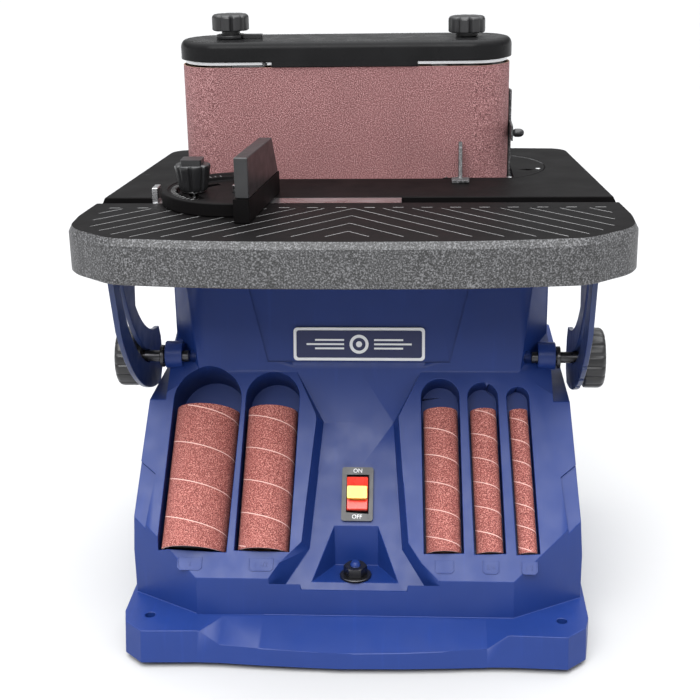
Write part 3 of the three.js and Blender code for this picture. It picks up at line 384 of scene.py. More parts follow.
def cleaned(node, name, cuts=()):
    """Copy of a CAD node's mesh with its flat faces made whole, but split along the given planes."""
    made = linked(name, frame["nodes"][node].data.copy())
    bm = bmesh.new()
    bm.from_mesh(made.data)
    bmesh.ops.remove_doubles(bm, verts=bm.verts, dist=0.02 * MM)
    for point, normal in cuts:
        whole = bm.verts[:] + bm.edges[:] + bm.faces[:]
        place = Vector(point) * MM
        split = bmesh.ops.bisect_plane(bm, geom=whole, plane_co=place, plane_no=normal, dist=1e-7)
        for item in split["geom_cut"]:
            if isinstance(item, bmesh.types.BMEdge):
                item.seam = True
    bmesh.ops.dissolve_limit(bm, angle_limit=radians(0.8), verts=bm.verts, edges=bm.edges,
                             delimit={"SEAM"})
    bm.to_mesh(made.data)
    bm.free()
    return made


def tower(rings, matrix=None, capped=True):
    """Closed bmesh through equally long rings of points; uncapped, the last ring meets the first."""
    bm = bmesh.new()
    place = matrix or Matrix.Identity(4)
    layers = [[bm.verts.new((place @ Vector(point)) * MM) for point in ring] for ring in rings]
    count = len(rings[0])
    pairs = list(zip(layers, layers[1:]))
    if not capped:
        pairs.append((layers[-1], layers[0]))
    for low, high in pairs:
        for i in range(count):
            j = (i + 1) % count
            bm.faces.new((low[i], low[j], high[j], high[i]))
    if capped:
        bm.faces.new(list(reversed(layers[0])))
        bm.faces.new(layers[-1])
    bmesh.ops.recalc_face_normals(bm, faces=bm.faces)
    return bm


def prism(outline_points, low, high, matrix=None):
    return tower([[(x, y, z) for x, y in outline_points] for z in (low, high)], matrix)


def slab(x0, x1, y0, y1, z0, z1, matrix=None):
    return prism([(x0, y0), (x1, y0), (x1, y1), (x0, y1)], z0, z1, matrix)


def arc(cx, cy, radius, start, end, steps):
    angles = [radians(start + (end - start) * i / steps) for i in range(steps + 1)]
    return [(cx + radius * cos(a), cy + radius * sin(a)) for a in angles]


def lathe(profile, matrix=None, steps=72):
    """Turned solid: (radius, height) pairs that start and end on the axis, or close on themselves."""
    hollow = profile[0][0] > 0
    rows = profile[:-1] if hollow else [(max(r, 0.02), h) for r, h in profile]
    turns = [2 * pi * i / steps for i in range(steps)]
    rings = [[(r * cos(a), r * sin(a), h) for a in turns] for r, h in rows]
    return tower(rings, matrix, capped=not hollow)


def outline(corners, step=3):
    """Points round a closed outline; a corner (x, y, r) is rounded with radius r."""
    points = []
    count = len(corners)
    for i, corner in enumerate(corners):
        here = Vector(corner[:2])
        radius = corner[2] if len(corner) > 2 else 0
        to_last = (Vector(corners[i - 1][:2]) - here).normalized()
        to_next = (Vector(corners[(i + 1) % count][:2]) - here).normalized()
        if radius == 0:
            points.append(tuple(here))
            continue
        half = acos(max(-1, min(1, to_last.dot(to_next)))) / 2
        centre = here + (to_last + to_next).normalized() * (radius / sin(half))
        start = here + to_last * (radius / tan(half)) - centre
        end = here + to_next * (radius / tan(half)) - centre
        a0 = atan2(start.y, start.x)
        turn = atan2(end.y, end.x) - a0
        turn = atan2(sin(turn), cos(turn))
        steps = max(2, ceil(abs(turn) / radians(step)))
        points += [(centre.x + radius * cos(a0 + turn * k / steps),
                    centre.y + radius * sin(a0 + turn * k / steps)) for k in range(steps + 1)]
    return points


def mirrored(half):
    return half + [(-c[0], *c[1:]) for c in reversed(half) if c[0] != 0]


def carved(made, bm, operation="DIFFERENCE"):
    """Cuts, joins or keeps what a second bmesh covers."""
    tool = piece_of("tool", bm)
    change = made.modifiers.new("carve", "BOOLEAN")
    change.object = tool
    change.operation = operation
    change.solver = "EXACT"
    settled(made)
    bpy.data.objects.remove(tool)
    return made


def together(*meshes):
    whole = bmesh.new()
    for bm in meshes:
        mesh = bpy.data.meshes.new("part")
        bm.to_mesh(mesh)
        bm.free()
        whole.from_mesh(mesh)
        bpy.data.meshes.remove(mesh)
    return whole


def axis_to(direction, origin):
    z = Vector(direction).normalized()
    helper = Vector((1, 0, 0)) if abs(z.z) > 0.9 else Vector((0, 0, 1))
    x = helper.cross(z).normalized()
    return Matrix.Translation(origin) @ Matrix((x, z.cross(x), z)).transposed().to_4x4()


def moved_to(x, y, z=0):
    return Matrix.Translation((x, y, z))


def corners_of(node):
    low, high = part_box(node)
    return low / MM, high / MM


def box_of(node):
    """Lowest corner, highest corner and centre of a CAD node."""
    low, high = corners_of(node)
    return low, high, (low + high) / 2


def stand_for(made, *nodes):
    """The piece replaces these CAD nodes and moves with the first one's body."""
    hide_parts(*nodes)
    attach(made, BODY_OF[nodes[0]])
    return made


def added_to(node, made):
    """The piece is a small fixed detail on a CAD node."""
    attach(made, BODY_OF[node])
    return made


def lettering(name, text, size, thick, matrix, look, node):
    """Small raised lettering, centred on the matrix's origin."""
    curve = bpy.data.curves.new(name, "FONT")
    curve.body = text
    curve.size = size * MM
    curve.extrude = thick * MM / 2
    curve.align_x = "CENTER"
    curve.align_y = "CENTER"
    source = linked(name + "_source", curve)
    mesh = bpy.data.meshes.new_from_object(source.evaluated_get(bpy.context.evaluated_depsgraph_get()))
    bpy.data.objects.remove(source)
    place = matrix.copy()
    place.translation *= MM
    mesh.transform(place)
    return added_to(node, dressed(linked(name, mesh), look))


# Frames of the housing's front faces: x across, y up along the face, z out of it
SLOPE_ANGLE = radians(39.3)
SLOPE_FOOT = Vector((0, -153.1, 58.7))
SLOPE_LENGTH = 167
NECK_ANGLE = radians(12)
CHANNEL_DEPTH = 16


def face_frame(angle, origin):
    up = Vector((0, sin(angle), cos(angle)))
    out = Vector((0, -cos(angle), sin(angle)))
    return Matrix.Translation(origin) @ Matrix((Vector((1, 0, 0)), up, out)).transposed().to_4x4()


SLOPE = face_frame(SLOPE_ANGLE, SLOPE_FOOT)
NECK = face_frame(NECK_ANGLE, SLOPE @ Vector((0, SLOPE_LENGTH, 0)))

# -------- pieces kept from CAD, edges rounded

ROUNDED = {
    "housing": (0.6, 3), "base_plate": (0.5, 2), "badge_plate": (0.5, 2), "switch_bezel": (0.6, 2),
    "switch_body": (0.6, 2), "switch_rocker": (0.7, 3), "safety_key": (0.9, 3), "motor_mount": (0.6, 2),
    "gearbox_housing": (1.2, 2), "carriage": (0.8, 2), "belt_frame": (0.5, 2), "platen": (0.5, 2),
    "idler_bracket": (0.5, 2), "tension_lever": (0.7, 3), "trunnion_left": (0.5, 2),
    "trunnion_right": (0.5, 2), "work_stop": (0.5, 2), "mitre_bar": (0.5, 2), "mitre_fence": (1.0, 3),
    "rear_vent_cover": (0.7, 2), "worm_wheel": (0.5, 2),
}
SMOOTH_LIMIT = {2: 38, 3: 31}           # degrees up to which edges are shaded smooth, by rounding steps

# Planes through the housing's pockets and holes, so that no flat face has a hole in it
CUTS_ACROSS_X = (-157.4, -122.4, -69.3, 0.6, 66.4, 100.2, 126.9, 157.4)
CUTS_ACROSS_Y = (-38, 118)
CUTS_ACROSS_Z = (118, 190)
HOUSING_CUTS = [((x, 0, 0), (1, 0, 0)) for x in CUTS_ACROSS_X]
HOUSING_CUTS += [((0, y, 0), (0, 1, 0)) for y in CUTS_ACROSS_Y]
HOUSING_CUTS += [((0, 0, z), (0, 0, 1)) for z in CUTS_ACROSS_Z]


def make_rounded():
    for node, (width, segments) in ROUNDED.items():
        cuts = HOUSING_CUTS if node == "housing" else ()
        made = dressed(cleaned(node, node + "_fine", cuts), SLOT_OF[node])
        stand_for(softened(made, width, segments, smooth=SMOOTH_LIMIT[segments]), node)


# -------- turned pieces

def span_of(node):
    """Half width, bottom and top of a CAD node."""
    low, high = corners_of(node)
    return (high.x - low.x) / 2, low.z, high.z


def turned_piece(node, profile, matrix=None, steps=96):
    """Replaces a turned CAD node, on an upright axis through its own centre where no matrix is given."""
    middle = box_of(node)[2]
    place = matrix or moved_to(middle.x, middle.y)
    made = piece_of(node + "_fine", lathe(profile, place, steps), SLOT_OF[node])
    return stand_for(softened(made, 0, smooth=30), node)


def even_section(half, low, high):
    """Closed profile from its lower half, (radius, distance from the end) points, and the same mirrored."""
    lower = [(r, low + d) for r, d in half]
    upper = [(r, high - d) for r, d in reversed(half)]
    return lower + upper + lower[:1]


def make_feet():
    for number in (1, 2, 3, 4):
        node = f"rubber_foot_{number}"
        r, low, high = span_of(node)
        sole = [(0, 0.4), (6, 0.4), (6.5, 0), (r - 1.6, 0), (r - 0.5, 0.5), (r, 1.6)]
        turned_piece(node, sole + [(r, high), (0, high)])


def make_drums():
    for node, bore in (("drive_drum", 8.3), ("idler_drum", 6.4)):
        r, low, high = span_of(node)
        profile = [
            (bore, low), (r - 2, low), (r - 0.6, low + 0.6), (r, low + 2), (r, high - 2),
            (r - 0.6, high - 0.6), (r - 2, high), (r - 6, high), (r - 6.6, high - 0.6),
            (r - 7.4, high - 3), (16, high - 4), (14, high - 1.2), (13, high - 0.8),
            (bore + 1, high - 0.8), (bore, high - 1.8), (bore, low),
        ]
        turned_piece(node, profile)


def make_spindle():
    _, low, high = span_of("spindle_shaft")
    profile = [
        (0, low), (6.6, low), (8, low + 1.4), (8, 195), (7.6, 195.4), (7.6, 196.8), (8, 197.2),
        (8, high - 1), (7, high), (0, high),
    ]
    turned_piece("spindle_shaft", profile)


def make_bearings():
    for node in ("lower_bearing", "upper_bearing"):
        r, low, high = span_of(node)
        half = [(8.3, 0.5), (8.8, 0), (11, 0), (11.3, 0.7), (14, 0.7), (14.3, 0), (r - 0.6, 0), (r, 0.6)]
        turned_piece(node, even_section(half, low, high))


def make_motor_can():
    _, low, high = span_of("motor_can")
    profile = [
        (15, low), (45, low), (50, low + 3), (52, low + 9), (52, low + 30), (51.4, low + 30.6),
        (51.4, low + 31.6), (52, low + 32.2), (52, high - 34), (51.4, high - 33.4),
        (51.4, high - 32.4), (52, high - 31.8), (52, high - 11), (49, high - 4), (40, high),
        (20, high), (19, high - 1), (15, high - 1), (15, low),
    ]
    turned_piece("motor_can", profile)


def make_dust_port():
    low, high, middle = box_of("dust_port")
    flange = low.y + 14
    length = high.y - flange
    profile = [
        (27.4, -14), (27.4, 0), (39.4, 0), (40, 0.6), (40, 3), (39, 4), (34, 4), (32.2, 5.2), (31.7, 9),
        (31.4, 20), (31.4, 30), (32.2, 31), (32.2, 32.4), (31.4, 33.4), (31.2, length - 0.8), (30.6, length),
        (28.8, length), (28.2, length - 0.8), (25.6, -13), (26.4, -14), (27.4, -14),
    ]
    turned_piece("dust_port", profile, axis_to((0, 1, 0), (middle.x, flange, middle.z)), steps=128)


def make_cord_gland():
    low, _, middle = box_of("cord_gland")
    profile = [
        (3.8, -9), (6, -9), (6, 0), (9.2, 0), (9.5, 0.4), (9.5, 2.6), (9.1, 3), (7.6, 3.2), (7.2, 6),
        (6.4, 13), (5.6, 15), (4.2, 15), (3.8, 14.4), (3.8, -9),
    ]
    turned_piece("cord_gland", profile, axis_to((0, 1, 0), (middle.x, low.y + 9, middle.z)))


def make_guard_knob():
    low, _, middle = box_of("guard_knob")
    profile = [
        (0, 0.3), (2.6, 0.3), (2.9, 1.2), (3.4, 1.8), (3.4, 5.6), (3.0, 7.0), (2.0, 8.4), (0.8, 9), (0, 9),
    ]
    turned_piece("guard_knob", profile, axis_to((1, 0, 0), (low.x - 0.3, middle.y, middle.z)), steps=48)


def make_guide_rods():
    for node in ("guide_rod_left", "guide_rod_right"):
        _, low, high = span_of(node)
        foot = [(0, low), (4.2, low), (4.7, low + 0.6)]
        turned_piece(node, foot + [(4.7, high - 0.8), (4, high), (0, high)])


def make_trunnion_studs():
    profile = [
        (0, 138), (4.2, 138), (4.5, 138.4), (4.5, 157.6), (8.6, 157.6), (9, 158), (9, 160.2), (8.6, 160.6),
        (4.5, 160.6), (4.5, 187.4), (4, 188), (0, 188),
    ]
    for node, side in (("trunnion_stud_left", -1), ("trunnion_stud_right", 1)):
        middle = box_of(node)[2]
        turned_piece(node, profile, axis_to((side, 0, 0), (0, middle.y, middle.z)))


# -------- belt, cover and guard

BELT_LOW, BELT_HIGH, BELT_MIDDLE = box_of("sanding_belt")
BELT_Y = BELT_MIDDLE.y
BELT_R = (BELT_HIGH.y - BELT_LOW.y) / 2
BELT_THICK = 1.2
DRIVE_X = BELT_HIGH.x - BELT_R
IDLER_X = BELT_LOW.x + BELT_R


def track(radius, z, steps=40):
    """Ring of points round both drums at one height."""
    right = arc(DRIVE_X, BELT_Y, radius, -90, 90, steps)
    left = arc(IDLER_X, BELT_Y, radius, 90, 270, steps)
    return [(x, y, z) for x, y in right + left]


def make_belt():
    edge = 0.15
    half = [(BELT_R - BELT_THICK, 0), (BELT_R - edge, 0), (BELT_R, edge)]
    rings = [track(radius, z) for radius, z in even_section(half, BELT_LOW.z, BELT_HIGH.z)[:-1]]
    belt = piece_of("sanding_belt_fine", tower(rings, capped=False), "belt_abrasive", "backing")
    for face in belt.data.polygons:
        centre = face.center / MM
        nearest_x = min(max(centre.x, IDLER_X), DRIVE_X)
        if hypot(centre.x - nearest_x, centre.y - BELT_Y) < BELT_R - 0.5 * BELT_THICK:
            face.material_index = 1
    stand_for(softened(belt, 0, smooth=50), "sanding_belt")


def make_splice():
    """The belt's joint: a slanting strip, barely proud, on the rear run."""
    tall = BELT_HIGH.z - BELT_LOW.z - 3
    facing_back = Matrix.Rotation(radians(90), 4, "X") @ Matrix.Scale(-1, 4, (0, 0, 1))
    place = moved_to(-40, BELT_HIGH.y, BELT_LOW.z + 1.5) @ facing_back
    strip = prism([(-20, 0), (-17.5, 0), (17.5, tall), (15, tall)], 0, 0.12, place)
    added_to("sanding_belt", piece_of("belt_splice", strip, "backing"))


def make_cover():
    low, high = corners_of("belt_cover")
    r = (high.y - low.y) / 2
    profile = [
        (-3, low.z + 2.4), (-2.6, low.z), (-0.4, low.z), (0, low.z + 0.4), (0, high.z - 6),
        (-0.25, high.z - 4.2), (-0.9, high.z - 2.6), (-1.9, high.z - 1.2), (-3.2, high.z - 0.35),
        (-4.6, high.z),
    ]
    rings = [track(r + inset, z) for inset, z in profile]
    cover = piece_of("belt_cover_fine", tower(rings), "cover_plastic")
    skirts = []
    for side in (-1, 1):
        y = BELT_Y + side * (r - 1)
        skirts.append(slab(IDLER_X + 44, DRIVE_X - 42, y - 0.95, y + 0.95, BELT_HIGH.z + 0.5, low.z + 1))
    carved(cover, together(*skirts), "UNION")
    stand_for(softened(cover, 0.3, 2, smooth=30), "belt_cover")


def make_guard():
    low, high = corners_of("belt_guard")
    outer_r = 35
    inner_r = 33.3
    shell = arc(DRIVE_X, BELT_Y, outer_r, -5, 90, 40)
    shell += [(low.x, BELT_Y + outer_r), (low.x, BELT_Y + inner_r)]
    shell += arc(DRIVE_X, BELT_Y, inner_r, 90, -5, 40)
    guard = piece_of("belt_guard_fine", prism(shell, low.z, high.z), "black_coat")
    knob_lug = slab(121.9, 123.5, 32, 61, 359, 371)
    carved(guard, knob_lug, "UNION")
    stand_for(softened(guard, 0.35, 2), "belt_guard")


def make_drum_end():
    """Bright end of the drive drum, which shows in the gap under the cover."""
    ring_low = 414.3
    profile = [(19, 0), (30.6, 0), (31, 0.4), (31, 2.4), (30.4, 3), (27, 3), (26.4, 2.2), (19, 2.2), (19, 0)]
    ring = piece_of("drum_end_ring", lathe(profile, moved_to(DRIVE_X, BELT_Y, ring_low), 96), "steel")
    added_to("drive_drum", softened(ring, 0, smooth=30))


def make_spring_hook():
    """Black wire hook beside the idler drum."""
    curve = bpy.data.curves.new("spring_hook", "CURVE")
    curve.dimensions = "3D"
    curve.bevel_depth = 0.8 * MM
    curve.bevel_resolution = 3
    path = [(12, 420.1), (30, 420.1), (37, 420.1), (40, 421.6), (38.6, 423.2), (36.4, 422.4)]
    line = curve.splines.new("NURBS")
    line.points.add(len(path) - 1)
    for point, (along, z) in zip(line.points, path):
        point.co = ((IDLER_X + along) * MM, (BELT_Y - 31.6) * MM, z * MM, 1)
    line.use_endpoint_u = True
    curve.materials.append(LOOKS["black_plastic"])
    curve.use_fill_caps = True
    added_to("belt_frame", linked("spring_hook", curve))


def make_spring():
    low, high, middle = box_of("tension_spring")
    wire_r = 0.9
    coil_r = (high.z - low.z) / 2 - wire_r
    turns = 6
    per_turn = 24
    steps = turns * per_turn
    length = high.x - low.x - 2 * wire_r
    round_wire = [2 * pi * k / 10 for k in range(10)]
    along = Vector((1, 0, 0))
    rings = []
    for i in range(steps + 1):
        a = 2 * pi * i / per_turn
        spoke = Vector((0, cos(a), sin(a)))
        centre = Vector((low.x + wire_r + length * i / steps, middle.y, middle.z)) + coil_r * spoke
        sides = [cos(b) * spoke + sin(b) * along for b in round_wire]
        rings.append([tuple(centre + wire_r * side) for side in sides])
    made = piece_of("tension_spring_fine", tower(rings), "dark_steel")
    stand_for(softened(made, 0, smooth=50), "tension_spring")


# -------- knobs

def fluted(radius, flutes, depth, profile, matrix, steps=12):
    """Round grip with flutes down its side, from (share of radius, height, share of the depth) rows."""
    count = flutes * steps
    rings = []
    for share, height, cut in profile:
        ring_points = []
        for i in range(count):
            a = 2 * pi * i / count
            groove = max(0.0, cos(flutes * a)) ** 3
            r = radius * share - depth * cut * groove
            ring_points.append((r * cos(a), r * sin(a), height))
        rings.append(ring_points)
    return tower(rings, matrix)


def grip_profile(low, high, edge):
    """Straight side with rounded upper and lower edges; the flutes fade out at the crown."""
    return [
        (0.80, low, 0.6), (0.95, low, 1), (1, low + 0.8, 1), (1, high - edge, 1),
        (0.985, high - edge * 0.6, 1), (0.94, high - edge * 0.25, 1), (0.86, high, 0.8),
        (0.5, high + 0.25, 0.0), (0.02, high + 0.35, 0),
    ]


def make_top_knobs():
    """Knobs on the belt cover. Each has a round neck under its grip."""
    for node, neck_r, head_low in (("tracking_knob", 7.5, 6.4), ("spindle_knob", 9, 3.2)):
        low, high, middle = box_of(node)
        place = moved_to(middle.x, middle.y, low.z)
        top = high.z - low.z
        head = fluted(15, 9, 2.0, grip_profile(head_low, top - 0.4, 3), place)
        neck_top = head_low + 0.5
        neck = [(0, 0), (neck_r - 0.5, 0), (neck_r, 0.5), (neck_r, neck_top), (0, neck_top)]
        made = piece_of(node + "_fine", head, "black_plastic")
        carved(made, lathe(neck, place, 48), "UNION")
        stand_for(softened(made, 0, smooth=35), node)


def make_tilt_knobs():
    stud_end = 188.4
    for node, side in (("tilt_knob_left", -1), ("tilt_knob_right", 1)):
        low, high, middle = box_of(node)
        inner = min(abs(low.x), abs(high.x))
        outer = max(abs(low.x), abs(high.x))
        place = axis_to((side, 0, 0), (0, middle.y, middle.z))
        profile = [
            (0.62, inner + 3, 0.2), (0.93, inner + 3, 1), (0.985, inner + 3.8, 1), (1, inner + 5.2, 1),
            (1, outer - 4.2, 1), (0.975, outer - 2.4, 1), (0.92, outer - 1, 0.8), (0.86, outer - 0.3, 0.3),
            (0.80, outer, 0), (0.70, outer, 0), (0.68, outer - 0.7, 0), (0.34, outer - 0.9, 0),
            (0.30, outer - 0.2, 0), (0.02, outer - 0.1, 0),
        ]
        made = piece_of(node + "_fine", fluted(24, 16, 1.1, profile, place, 10), "black_plastic")
        hub = [(0, inner), (12.4, inner), (13, inner + 0.6), (13, inner + 4), (0, inner + 4)]
        carved(made, lathe(hub, place, 64), "UNION")
        bore = [(0, inner - 1), (4.8, inner - 1), (4.8, stud_end), (0, stud_end)]
        carved(made, lathe(bore, place, 32))
        stand_for(softened(made, 0, smooth=35), node)


# -------- table

SLOT_FRONT = -63
SLOT_BACK = -43.5
SLOT_FLOOR = 320.5
SKIRT_WALL = 5
UNDERSIDE = 324
TOP_CHAMFER = 0.6
INSERT_AT = (97, 75)
INSERT_R = 56


def table_outline(front, back):
    """Outline between the given front and back: a bowed front, round corners, and sides that draw in."""
    half = [
        (0, front), (90, front + 1.5, 600), (165, front + 11, 34), (203, -140, 40), (204, -103, 60),
        (179, back - 4, 18), (120, back, 300),
    ]
    return outline(mirrored(half))


def shrunk(points, inset):
    """The closed outline moved inwards, point by point, along the mean of its neighbouring normals."""
    moved = []
    for i, point in enumerate(points):
        run = Vector(points[(i + 1) % len(points)]) - Vector(points[i - 1])
        inward = Vector((-run.y, run.x)).normalized()
        moved.append(tuple(Vector(point) + inward * inset))
    return moved


def table_edge_x(y):
    """Half width of the table's flat top at a place along Y, front part only, close to its outline."""
    corner_y = -130
    if y > corner_y:
        return 204 if y > -103 else 203
    return 203 - 38 * ((corner_y - y) / 43) ** 1.4


def make_table_lines(top):
    """Fine 45 degree lines in the table's front, with a row of short dashes behind them."""
    pitch = 21.7
    head_y = -82
    front_y = -167
    margin = 16
    reach = 0.36
    deep = 0.5
    proud = 0.04
    bars = []
    for i in range(-3, 9):
        start_x = max(0.0, i * pitch)
        start_y = head_y + min(0, i) * (pitch + 1.7)
        end_y = start_y
        while end_y > front_y and start_x + (start_y - end_y) < table_edge_x(end_y) - margin:
            end_y -= 0.5
        end_x = start_x + start_y - end_y
        line = [(start_x, start_y - reach), (end_x - reach, end_y), (end_x + reach, end_y),
                (start_x, start_y + reach)]
        bars += [[(side * x, y) for x, y in line] for side in (-1, 1)]
    dash_low = head_y + 2.5
    dash_high = head_y + 3.3
    for i in range(-9, 9):
        x = (i + 0.55) * 21.3
        bars.append([(x - 4, dash_low), (x + 4, dash_low), (x + 4, dash_high), (x - 4, dash_high)])
    lines = together(*[prism(points, top - deep, top + proud) for points in bars])
    added_to("table_top", piece_of("table_lines", lines, "pale_line"))


def table_blank(low, high):
    """The table's closed solid with its rounded skirt, and the block under it that holds the mitre slot."""
    top = high.z
    bottom = low.z
    profile = [
        (SKIRT_WALL, UNDERSIDE), (SKIRT_WALL, bottom + 0.6), (SKIRT_WALL - 0.6, bottom), (0.8, bottom),
        (0, bottom + 0.8), (0, top - 5), (0.3, top - 4.6), (2.3, top - 0.5), (2.6, top - 0.15), (3.1, top),
    ]
    edge = table_outline(low.y, high.y)
    rings = [[(x, y, z) for x, y in shrunk(edge, inset)] for inset, z in profile]
    table = piece_of("table_top_fine", tower(rings), "black_coat", "satin_coat")
    return carved(table, slab(-198, 198, SLOT_FRONT - 4, SLOT_BACK + 4, 317, UNDERSIDE + 1), "UNION")


def cut_mitre_slot(table, top):
    back = SLOT_BACK + TOP_CHAMFER
    front = SLOT_FRONT - TOP_CHAMFER
    slot = [
        (SLOT_FRONT, SLOT_FLOOR), (SLOT_BACK, SLOT_FLOOR), (SLOT_BACK, top - TOP_CHAMFER), (back, top),
        (back, top + 5), (front, top + 5), (front, top), (SLOT_FRONT, top - TOP_CHAMFER),
    ]
    along_x = Matrix(((0, 0, 1), (1, 0, 0), (0, 1, 0))).to_4x4()
    carved(table, prism(slot, -230, 230, along_x))


def cut_belt_opening(table, top):
    opening = outline([(-151.5, 25.5, 26), (124.5, 25.5, 0.5), (124.5, 136, 0.5), (-151.5, 136, 26)])
    steps = ((0, UNDERSIDE - 2), (0, top - TOP_CHAMFER), (TOP_CHAMFER, top), (TOP_CHAMFER, top + 5))
    carved(table, tower([[(x, y, z) for x, y in shrunk(opening, -grow)] for grow, z in steps]))


def cut_insert_seat(table, top):
    r = INSERT_R + 0.4
    seat = [(0, top - 3.3), (r, top - 3.3), (r, top - 0.4), (r + 0.4, top), (r + 0.4, top + 5), (0, top + 5)]
    carved(table, lathe(seat, moved_to(*INSERT_AT), 144))
    r = INSERT_R - 6
    hole = [(0, UNDERSIDE - 2), (r, UNDERSIDE - 2), (r, top), (0, top)]
    carved(table, lathe(hole, moved_to(*INSERT_AT), 128))


def cut_side_nicks(table, top):
    nicks = [slab(side * 192 - 14, side * 192 + 14, 43.6, 44.6, top - 0.4, top + 1) for side in (-1, 1)]
    carved(table, together(*nicks))


def make_table():
    low, high = corners_of("table_top")
    top = high.z
    table = table_blank(low, high)
    cut_mitre_slot(table, top)
    cut_belt_opening(table, top)
    cut_insert_seat(table, top)
    cut_side_nicks(table, top)
    for face in table.data.polygons:
        centre = face.center / MM
        on_top = face.normal.z > 0.7 and centre.z > top - 0.2
        in_slot = SLOT_FRONT - 1 < centre.y < SLOT_BACK + 1 and centre.z > SLOT_FLOOR - 1
        face.material_index = 1 if on_top or in_slot else 0
    stand_for(softened(table, 0, smooth=30), "table_top")
    make_table_lines(top)


def make_insert():
    top = corners_of("throat_insert")[1].z
    profile = [
        (0, top - 3), (INSERT_R - 0.4, top - 3), (INSERT_R, top - 2.6), (INSERT_R, top - 0.5),
        (INSERT_R - 0.5, top), (0, top),
    ]
    made = piece_of("throat_insert_fine", lathe(profile, moved_to(*INSERT_AT), 144), "satin_coat")
    carved(made, slab(-100, 124.5, 28, 180, top - 10, top + 10))
    carved(made, prism(outline([(130, 60), (137, 56.8), (144, 60), (137, 63.2)]), top - 10, top + 10))
    softened(made, 0.35, 2, angle=60, smooth=30)
    stand_for(made, "throat_insert")
    for k, angle in enumerate((-122, -62, -12)):
        a = radians(angle)
        x = INSERT_AT[0] + (INSERT_R - 5) * cos(a)
        y = INSERT_AT[1] + (INSERT_R - 5) * sin(a)
        head = [(0, -0.2), (2.2, -0.2), (2.2, 0.05), (1.9, 0.25), (0.8, 0.3), (0, 0.3)]
        screw = piece_of(f"insert_screw_{k + 1}", lathe(head, moved_to(x, y, top), 24), "steel")
        added_to("throat_insert", softened(screw, 0))


# -------- tilt scale

PIVOT_Y = 21
PIVOT_Z = 330
SCALE_R = 162


def make_tilt_scale():
    """Ticks beside the notches on the right-hand trunnion plate, in degrees of tilt."""
    plate_x = corners_of("trunnion_right")[1].x
    ticks = []
    for degrees in range(0, 50, 5):
        phi = radians(14 + degrees * 0.8)
        length = 5 if degrees % 15 == 0 else 3
        spoke = Vector((0, -sin(phi), -cos(phi)))
        across = Vector((0, -cos(phi), sin(phi)))
        start = Vector((plate_x, PIVOT_Y, PIVOT_Z)) + spoke * (SCALE_R - length)
        quad = [start - across * 0.3, start + across * 0.3, start + across * 0.3 + spoke * length,
                start - across * 0.3 + spoke * length]
        ticks.append(tower([[tuple(point + Vector((d, 0, 0))) for point in quad] for d in (-0.05, 0.12)]))
    added_to("trunnion_right", piece_of("tilt_scale", together(*ticks), "white_plastic"))


# -------- mitre gauge

GAUGE_AT = (-90, -53.25)
GAUGE_LOW = 330.4
GAUGE_SWIVEL = radians(-6)


def make_mitre_head():
    place = moved_to(*GAUGE_AT, GAUGE_LOW) @ Matrix.Rotation(GAUGE_SWIVEL, 4, "Z")
    disc = lathe([
        (4.4, 0), (57.4, 0), (58, 0.6), (58, 9.2), (57.6, 9.8), (57, 10), (53.4, 10), (52.8, 9.4), (51, 9.0),
        (47.2, 9.0), (46.6, 8.6), (46, 6.4), (45.4, 6), (4.8, 6), (4.4, 5.6), (4.4, 0),
    ], place, 144)
    made = piece_of("mitre_head_fine", disc, "satin_coat")
    carved(made, slab(16.8, 80, -80, 80, -1, 20, place))
    carved(made, slab(14.8, 26.6, -75, 28, 0, 17.3, place), "UNION")
    curved_slot = arc(0, 0, 37.4, 129, 231, 24) + arc(0, 0, 30.6, 231, 129, 24)
    carved(made, prism(curved_slot, -1, 20, place))
    softened(made, 0.5, 2, angle=50, smooth=30)
    stand_for(made, "mitre_head")
    ticks = []
    for k in range(-12, 13):
        turn = place @ Matrix.Rotation(radians(180 + k * 5), 4, "Z")
        ticks.append(slab(47.6 if k % 3 else 46.8, 50.8, -0.22, 0.22, 8.9, 9.14, turn))
    added_to("mitre_head", piece_of("mitre_scale", together(*ticks), "pale_line"))


def make_mitre_knob():
    """Fluted grip with a square cap, on a steel stud and washer."""
    middle = box_of("mitre_knob")[2]
    place = moved_to(middle.x, middle.y, GAUGE_LOW)
    washer_top = 8
    grip = [
        (0.4, washer_top, 0), (0.72, washer_top, 0.7), (0.78, 9, 1), (0.82, 12, 1), (0.95, 24, 1),
        (0.985, 26, 1), (0.96, 27.2, 1), (0.86, 28, 0.6), (0.3, 28.2, 0), (0.02, 28.2, 0),
    ]
    knob = piece_of("mitre_knob_fine", fluted(14, 8, 2.0, grip, place), "black_plastic", "steel")
    cap = outline([(-8, -8, 1.5), (8, -8, 1.5), (8, 8, 1.5), (-8, 8, 1.5)], 15)
    carved(knob, prism(cap, 26, 32, place), "UNION")
    stud = [
        (0, -8), (2.5, -8), (2.5, 6.6), (8.6, 6.6), (9, 7), (9, 7.7), (8.6, washer_top), (6, washer_top),
        (6, 9), (0, 9),
    ]
    carved(knob, lathe(stud, place, 64), "UNION")
    for face in knob.data.polygons:
        if face.center.z / MM < GAUGE_LOW + washer_top + 0.02:
            face.material_index = 1
    stand_for(softened(knob, 0.3, 2, angle=55, smooth=35), "mitre_knob")


# -------- stored sleeves

SLEEVES = ("sleeve_2in", "sleeve_1_5in", "sleeve_1in", "sleeve_0_75in", "sleeve_0_5in")
SIZES = ("2", "1 1/2", "1", "3/4", "1/2")


